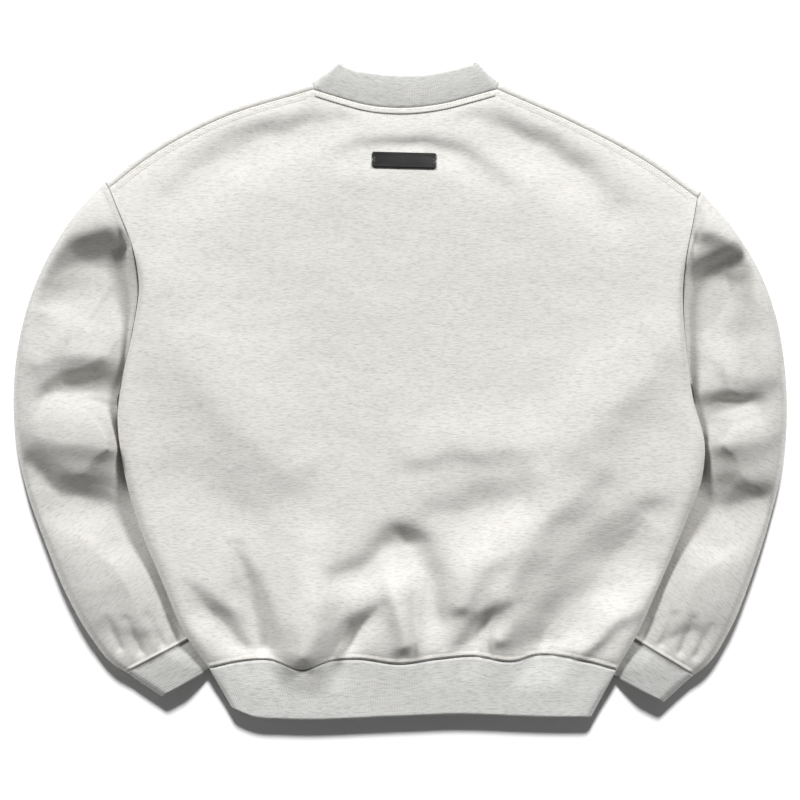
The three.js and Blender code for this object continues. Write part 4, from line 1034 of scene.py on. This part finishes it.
class SWEATSHIRT_OT_sleeves(bpy.types.Operator):
    """Make both sleeves and their cuffs"""
    bl_idname = "sweatshirt.sleeves"
    bl_label = "Sleeves and cuffs"

    def execute(self, context):
        for side in SLEEVES:
            sleeve_pieces(side, context.scene.sweatshirt_sizes)
        return {"FINISHED"}


def hem_grid(u, shares):
    """The hem band's ring of points: its top half, then its bottom half back."""
    seam = BACK.hem(u)
    x, y = seam[:, 0], seam[:, 1]
    far_from_top = np.full(len(u), 600.0)
    top_z = back_height(x, y, np.zeros(len(u)), far_from_top, fine=False)
    bottom_z = mix(side_mid(y) - LAYER_GAP, front_underside(x, y), roll(inside_side(x, y), SIDE_ROLL))
    start = seam + sideways(seam) * RIB_GAP
    mouth = curve_through(HEM_EDGE)(u)
    from_corner = np.minimum(u, 1 - u) * 400
    rolled = mix(CORNER_MID - 6, HEM_TOP, roll(from_corner, SIDE_ROLL))
    rows = []
    for share in shares:
        plan = mix(start, mouth, share)
        swell = 0.8 * ripple(plan[:, 0], plan[:, 1], 40, 9.3) * math.sin(math.pi * share)
        level = mix(top_z, HEM_TOP, smooth(0, 0.6, share)) + swell
        corner = mix(top_z, rolled, smooth(0, 0.9, share))
        sunk_seam = 1.3 * math.exp(-(share * HEM_LENGTH / 1.2) ** 2)
        round_edge = 1.6 * (1 - float(roll((1 - share) * HEM_LENGTH, 2.2)))
        upper = np.where(from_corner < SIDE_ROLL, corner, level) - sunk_seam - round_edge
        lower = np.clip(bottom_z * (1 - 0.7 * smooth(0, 1, share)), 0, upper - LAYER_GAP)
        top, bottom = np.column_stack([plan, upper]), np.column_stack([plan, lower])
        rows.append(np.concatenate([top, bottom[1:-1][::-1]]))
    return np.array(rows)


def along_and_across(reach, shares, width):
    """Cloth coordinates of a rib band: how far round it a point lies, and how far from its seam."""
    size = len(shares), len(reach)
    return np.dstack([np.broadcast_to(reach, size), np.broadcast_to((shares * width)[:, None], size)])


def shares_in_runs(*runs):
    """Shares of a band's width in runs, each from one share to another in a number of points."""
    return np.concatenate([np.linspace(*run) for run in runs])


class SWEATSHIRT_OT_hem(bpy.types.Operator):
    """Make the ribbed band round the hem"""
    bl_idname = "sweatshirt.hem"
    bl_label = "Hem band"

    def execute(self, context):
        u = body_columns(4)
        shares = shares_in_runs((0, 0.08, 6), (0.12, 0.94, 18), (0.96, 1, 5))[::-1]
        width = np.interp(u, [0, 1], [0, HEM_WIDTH])
        reach = np.concatenate([width, 2 * HEM_WIDTH - width[1:-1][::-1]])
        uv = along_and_across(reach, shares, HEM_LENGTH)
        thick = context.scene.sweatshirt_sizes.rib_thickness
        band = cloth_piece("hem_band_rib", "hem_band", hem_grid(u, shares), "rib", thick, uv, closed=True)
        return {"FINISHED"}


def collar_stations():
    """Once round the collar: points on its seam and on its free edge."""
    count = 60
    shares = np.linspace(0, 1, count)
    neck_u = np.linspace(NECK_LEFT_U, NECK_RIGHT_U, count)

    def level(plan, height):
        return np.column_stack([plan, np.full(count, height)])

    back_seam = level(BACK.top(neck_u), BODY_LOFT - TOP_DROP)
    back_edge = level(curve_through(COLLAR_BACK)(shares), COLLAR_TOP)
    front_seam = level(FRONT.top(neck_u), 0.0)
    front_edge = level(curve_through(COLLAR_FRONT)(shares), 0.0)

    def over_shoulder(fold, end, degrees):
        """Stations that roll over a shoulder, between the collar's front edge and its back edge."""
        turn = np.radians(degrees)
        share = (np.sin(turn) + 1) / 2
        seam = shoulder_point(fold, np.ones(len(turn)), SHOULDER_ROLL * (1 - np.cos(turn)))
        seam = np.column_stack([seam, SHOULDER_ROLL * (1 + np.sin(turn))])
        plan = mix(front_edge[end, :2], back_edge[end, :2], share[:, None])
        plan[:, 1] += 3 * np.cos(turn)
        return seam, np.column_stack([plan, COLLAR_TOP * share])

    degrees = np.linspace(52, -68, 11)
    right_seam, right_edge = over_shoulder(SHOULDERS["right"], -1, degrees)
    left_seam, left_edge = over_shoulder(SHOULDERS["left"], 0, degrees[::-1])
    seam = np.concatenate([back_seam, right_seam, front_seam[::-1], left_seam])
    edge = np.concatenate([back_edge, right_edge, front_edge[::-1], left_edge])
    return seam, edge


def neck_line(trim, count):
    """The back neck seam between the shoulders, shortened at both ends, with its directions to the body."""
    neck = BACK.top(np.linspace(NECK_LEFT_U + trim, NECK_RIGHT_U - trim, count))
    return neck, sideways(neck)


class SWEATSHIRT_OT_collar(bpy.types.Operator):
    """Make the ribbed collar and the tape sewn below its seam"""
    bl_idname = "sweatshirt.collar"
    bl_label = "Collar and neck tape"

    def execute(self, context):
        seam, edge = collar_stations()
        start = seam.copy()
        start[:, :2] += unit(edge[:, :2] - seam[:, :2]) * 0.45
        shares = shares_in_runs((0, 0.1, 5), (0.15, 0.93, 12), (0.95, 1, 5))
        points = mix(start, edge, shares[:, None, None])
        for row, share in zip(points, shares):
            belly = 1.1 * math.sin(math.pi * share)
            sunk_seam = 1.0 * math.exp(-(share * COLLAR_WIDTH / 1.1) ** 2)
            round_edge = 1.4 * (1 - float(roll((1 - share) * COLLAR_WIDTH, 2.4)))
            row[:, 2] += (belly - sunk_seam - round_edge) * smooth(4, 14, row[:, 2])
        _, reach = spans_along(seam)
        uv = along_and_across(reach, shares, COLLAR_WIDTH)
        thick = context.scene.sweatshirt_sizes.rib_thickness
        collar = cloth_piece("collar_rib", "collar", points, "rib", thick, uv, closed=True)

        tree = surface_tree("back_panel_cloth")
        neck, square = neck_line(0.006, 90)
        rows = []
        for distance in np.linspace(TAPE_TO, TAPE_FROM, 7):
            rise = 1.1 * float(roll(min(distance - TAPE_FROM, TAPE_TO - distance), 1.2)) + 0.35
            rows.append([laid_on(tree, x, y, rise) for x, y in neck + square * distance])
        tape = cloth_piece("neck_tape_cloth", "neck_tape", np.array(rows), "fleece", TAPE_THICKNESS)
        return {"FINISHED"}


def label_place(along, across):
    """A place on the label, as a place in plan."""
    x, y = turned(along, across, math.radians(LABEL["turn"]))
    return LABEL["x"] + x, LABEL["y"] + y


def mirrored(*shares):
    """Shares from -1 to 1: the given ones, an even run between, and the given ones back."""
    count, near = shares[-1], np.array(shares[:-1])
    return np.concatenate([-near, np.linspace(-near[-1], near[-1], count)[1:-1], near[::-1]])


class SWEATSHIRT_OT_label(bpy.types.Operator):
    """Make the plain rubber label on the back"""
    bl_idname = "sweatshirt.label"
    bl_label = "Back label"

    def execute(self, context):
        tree = surface_tree("back_panel_cloth")
        half_long, half_wide = LABEL["length"] / 2, LABEL["width"] / 2
        long_shares = mirrored(1, 0.985, 0.96, 0.93, 0.88, 22)
        wide_shares = mirrored(1, 0.94, 0.84, 0.7, 9)
        corner = 2.0
        notch = 1.4
        rows = []
        for q in half_wide * wide_shares:
            row = []
            for p in half_long * long_shares:
                over = max(0.0, abs(q) - (half_wide - corner))
                pull = corner - math.sqrt(max(0.0, corner ** 2 - over ** 2))
                pull += notch * max(0.0, 1 - abs(q) / 1.6)
                x = p - math.copysign(pull, p) * max(0.0, (abs(p) - half_long * 0.8) / (half_long * 0.2))
                edge = min(half_wide - abs(q), half_long - abs(p))
                rim = 0.25 * math.exp(-((edge - 1.1) / 0.6) ** 2)
                rise = 0.35 + 1.6 * float(roll(edge + 0.12, 0.7)) + rim
                row.append(laid_on(tree, *label_place(x, q), rise))
            rows.append(row)
        cloth_piece("label_rubber", "label", np.array(rows), "rubber", LABEL["thickness"])
        tree = surface_tree("back_panel_cloth", "label_rubber")
        lifted = Vector((0, 0, 0.15 * MM))
        ends = []
        for side in (-1, 1):
            for slant in (-1, 1):
                places = (side * (half_long - 3.2), slant * 1.9), (side * (half_long + 0.6), 0.0)
                inner, outer = (on_top(tree, *label_place(*place))[0] + lifted for place in places)
                ends.append((inner, outer, Vector((0, 0, 1))))
        stitch_row("label_stitches", ends, 0.3)
        return {"FINISHED"}


class SWEATSHIRT_OT_stitching(bpy.types.Operator):
    """Sew the visible topstitching along the seams"""
    bl_idname = "sweatshirt.stitching"
    bl_label = "Stitching"

    def execute(self, context):
        spacing = context.scene.sweatshirt_sizes.stitch_spacing
        across_seam = {"spacing": 2.3, "length": 1.9, "turn": math.pi / 2}
        along_seam = {"spacing": spacing, "length": spacing * 0.72}
        back = surface_tree("back_panel_cloth")
        seam = BACK.hem(np.linspace(0.012, 0.988, 300))
        rows = run_along(back, seam - sideways(seam) * HEM_STITCHES, **across_seam)
        stitch_row("hem_seam_stitches", rows, 0.26)

        tape = surface_tree("back_panel_cloth", "neck_tape_cloth")
        neck, square = neck_line(0.01, 200)
        rows = []
        for distance in (TAPE_FROM + TAPE_STITCHES, TAPE_TO - TAPE_STITCHES):
            rows += run_along(tape, neck + square * distance, **along_seam)
        stitch_row("neck_tape_stitches", rows, 0.22)

        rows = []
        for fold in SHOULDERS.values():
            for distance in SHOULDER_STITCHES:
                route = shoulder_point(fold, np.linspace(0.03, 0.97, 200), BACK.inward + distance)
                rows += run_along(back, route, **along_seam)
        stitch_row("shoulder_stitches", rows, 0.22)

        rows = []
        for side, cuff in CUFFS.items():
            sleeve = surface_tree(f"sleeve_{side}_cloth", f"cuff_{side}_rib")
            outer, inner = np.array(cuff["seam"], float)
            route = mix(outer, inner, np.linspace(0.1, 0.8, 60)[:, None]) - cuff_way(side) * CUFF_STITCHES
            rows += run_along(sleeve, route, **across_seam)
        stitch_row("cuff_seam_stitches", rows, 0.26)
        return {"FINISHED"}


def sun_light(scene, name, energy, degrees, way, lit):
    """A soft sun that shines from a direction, and only on the pieces of one collection."""
    sun = bpy.data.lights.new(name, "SUN")
    sun.energy = energy
    sun.angle = math.radians(degrees)
    light = bpy.data.objects.new(name, sun)
    light.rotation_euler = Vector(way).to_track_quat("Z", "Y").to_euler()
    light.light_linking.receiver_collection = lit
    scene.collection.objects.link(light)


class SWEATSHIRT_OT_stage(bpy.types.Operator):
    """Make the pale floor, the lights and the camera straight above"""
    bl_idname = "sweatshirt.stage"
    bl_label = "Stage, lights and camera"

    def execute(self, context):
        scene = context.scene
        body, arms, paper_only = (bpy.data.collections.new(name) for name in (
            "body, lit by the side keys", "arms, lit by the softer side keys", "lit by the floor key"))
        for piece in scene.objects:
            if piece.type == "MESH":
                named = piece.name.lower()
                (arms if "sleeve" in named or "cuff" in named else body).objects.link(piece)

        paper, wiring, shader = new_material("Pale floor")
        wiring.fill(shader, {
            "Base Color": (0.93, 0.93, 0.93, 1), "Roughness": 0.9, "Specular IOR Level": 0.1})
        half = 4.0
        corners = [(-half, -half, 0), (half, -half, 0), (half, half, 0), (-half, half, 0)]
        floor = mesh_piece("floor", corners, [(0, 1, 2, 3)], paper)
        floor.location.z = -0.0005
        paper_only.objects.link(floor)

        left, right, front = (-0.62, 0.78, 0.66), (0.62, 0.78, 0.66), (0.0, 1.0, 0.9)
        sun_light(scene, "left key", 2.64, 13, left, body)
        sun_light(scene, "right key", 2.58, 13, right, body)
        sun_light(scene, "left key for the arms", 2.16, 13, left, arms)
        sun_light(scene, "right key for the arms", 2.1, 13, right, arms)
        sun_light(scene, "floor key", 4.6, 10, front, paper_only)
        world = bpy.data.worlds.new("studio")
        world.use_nodes = True
        tree = world.node_tree
        Wiring(tree).fill(tree.nodes["Background"], {"Color": (1, 1, 1, 1), "Strength": 0.13})
        scene.world = world
        scene.view_settings.view_transform = "Standard"

        lens = bpy.data.cameras.new("camera")
        distance = 4.0
        view_width = 0.832
        subject_height = 0.02
        lens.sensor_width = 36
        lens.lens = 36 * (distance - subject_height) / view_width
        lens.clip_end = 50
        camera = bpy.data.objects.new("camera", lens)
        camera.location = (-0.0003, -0.009, distance)
        scene.collection.objects.link(camera)
        scene.camera = camera
        return {"FINISHED"}


class SWEATSHIRT_PT_panel(bpy.types.Panel):
    """Lists the garment's sizes, colours and steps"""
    bl_idname = "SWEATSHIRT_PT_panel"
    bl_label = "Sweatshirt"
    bl_space_type = "VIEW_3D"
    bl_region_type = "UI"
    bl_category = "Sweatshirt"

    def draw(self, context):
        layout = self.layout
        for settings in (context.scene.sweatshirt_sizes, context.scene.sweatshirt_colours):
            for name in settings.__annotations__:
                layout.prop(settings, name)
        for operator in STEPS:
            layout.operator(operator.bl_idname)


STEPS = (
    SWEATSHIRT_OT_body,
    SWEATSHIRT_OT_sleeves,
    SWEATSHIRT_OT_hem,
    SWEATSHIRT_OT_collar,
    SWEATSHIRT_OT_label,
    SWEATSHIRT_OT_stitching,
    SWEATSHIRT_OT_stage,
)
CLASSES = (SweatshirtSizes, SweatshirtColours, *STEPS, SWEATSHIRT_PT_panel)


def register():
    for cls in CLASSES:
        bpy.utils.register_class(cls)
    bpy.types.Scene.sweatshirt_sizes = bpy.props.PointerProperty(type=SweatshirtSizes)
    bpy.types.Scene.sweatshirt_colours = bpy.props.PointerProperty(type=SweatshirtColours)


def unregister():
    del bpy.types.Scene.sweatshirt_colours
    del bpy.types.Scene.sweatshirt_sizes
    for cls in reversed(CLASSES):
        bpy.utils.unregister_class(cls)


def main():
    register()
    bpy.ops.sweatshirt.body()
    bpy.ops.sweatshirt.sleeves()
    bpy.ops.sweatshirt.hem()
    bpy.ops.sweatshirt.collar()
    bpy.ops.sweatshirt.label()
    bpy.ops.sweatshirt.stitching()
    bpy.ops.sweatshirt.stage()


if __name__ == "__main__":
    main()
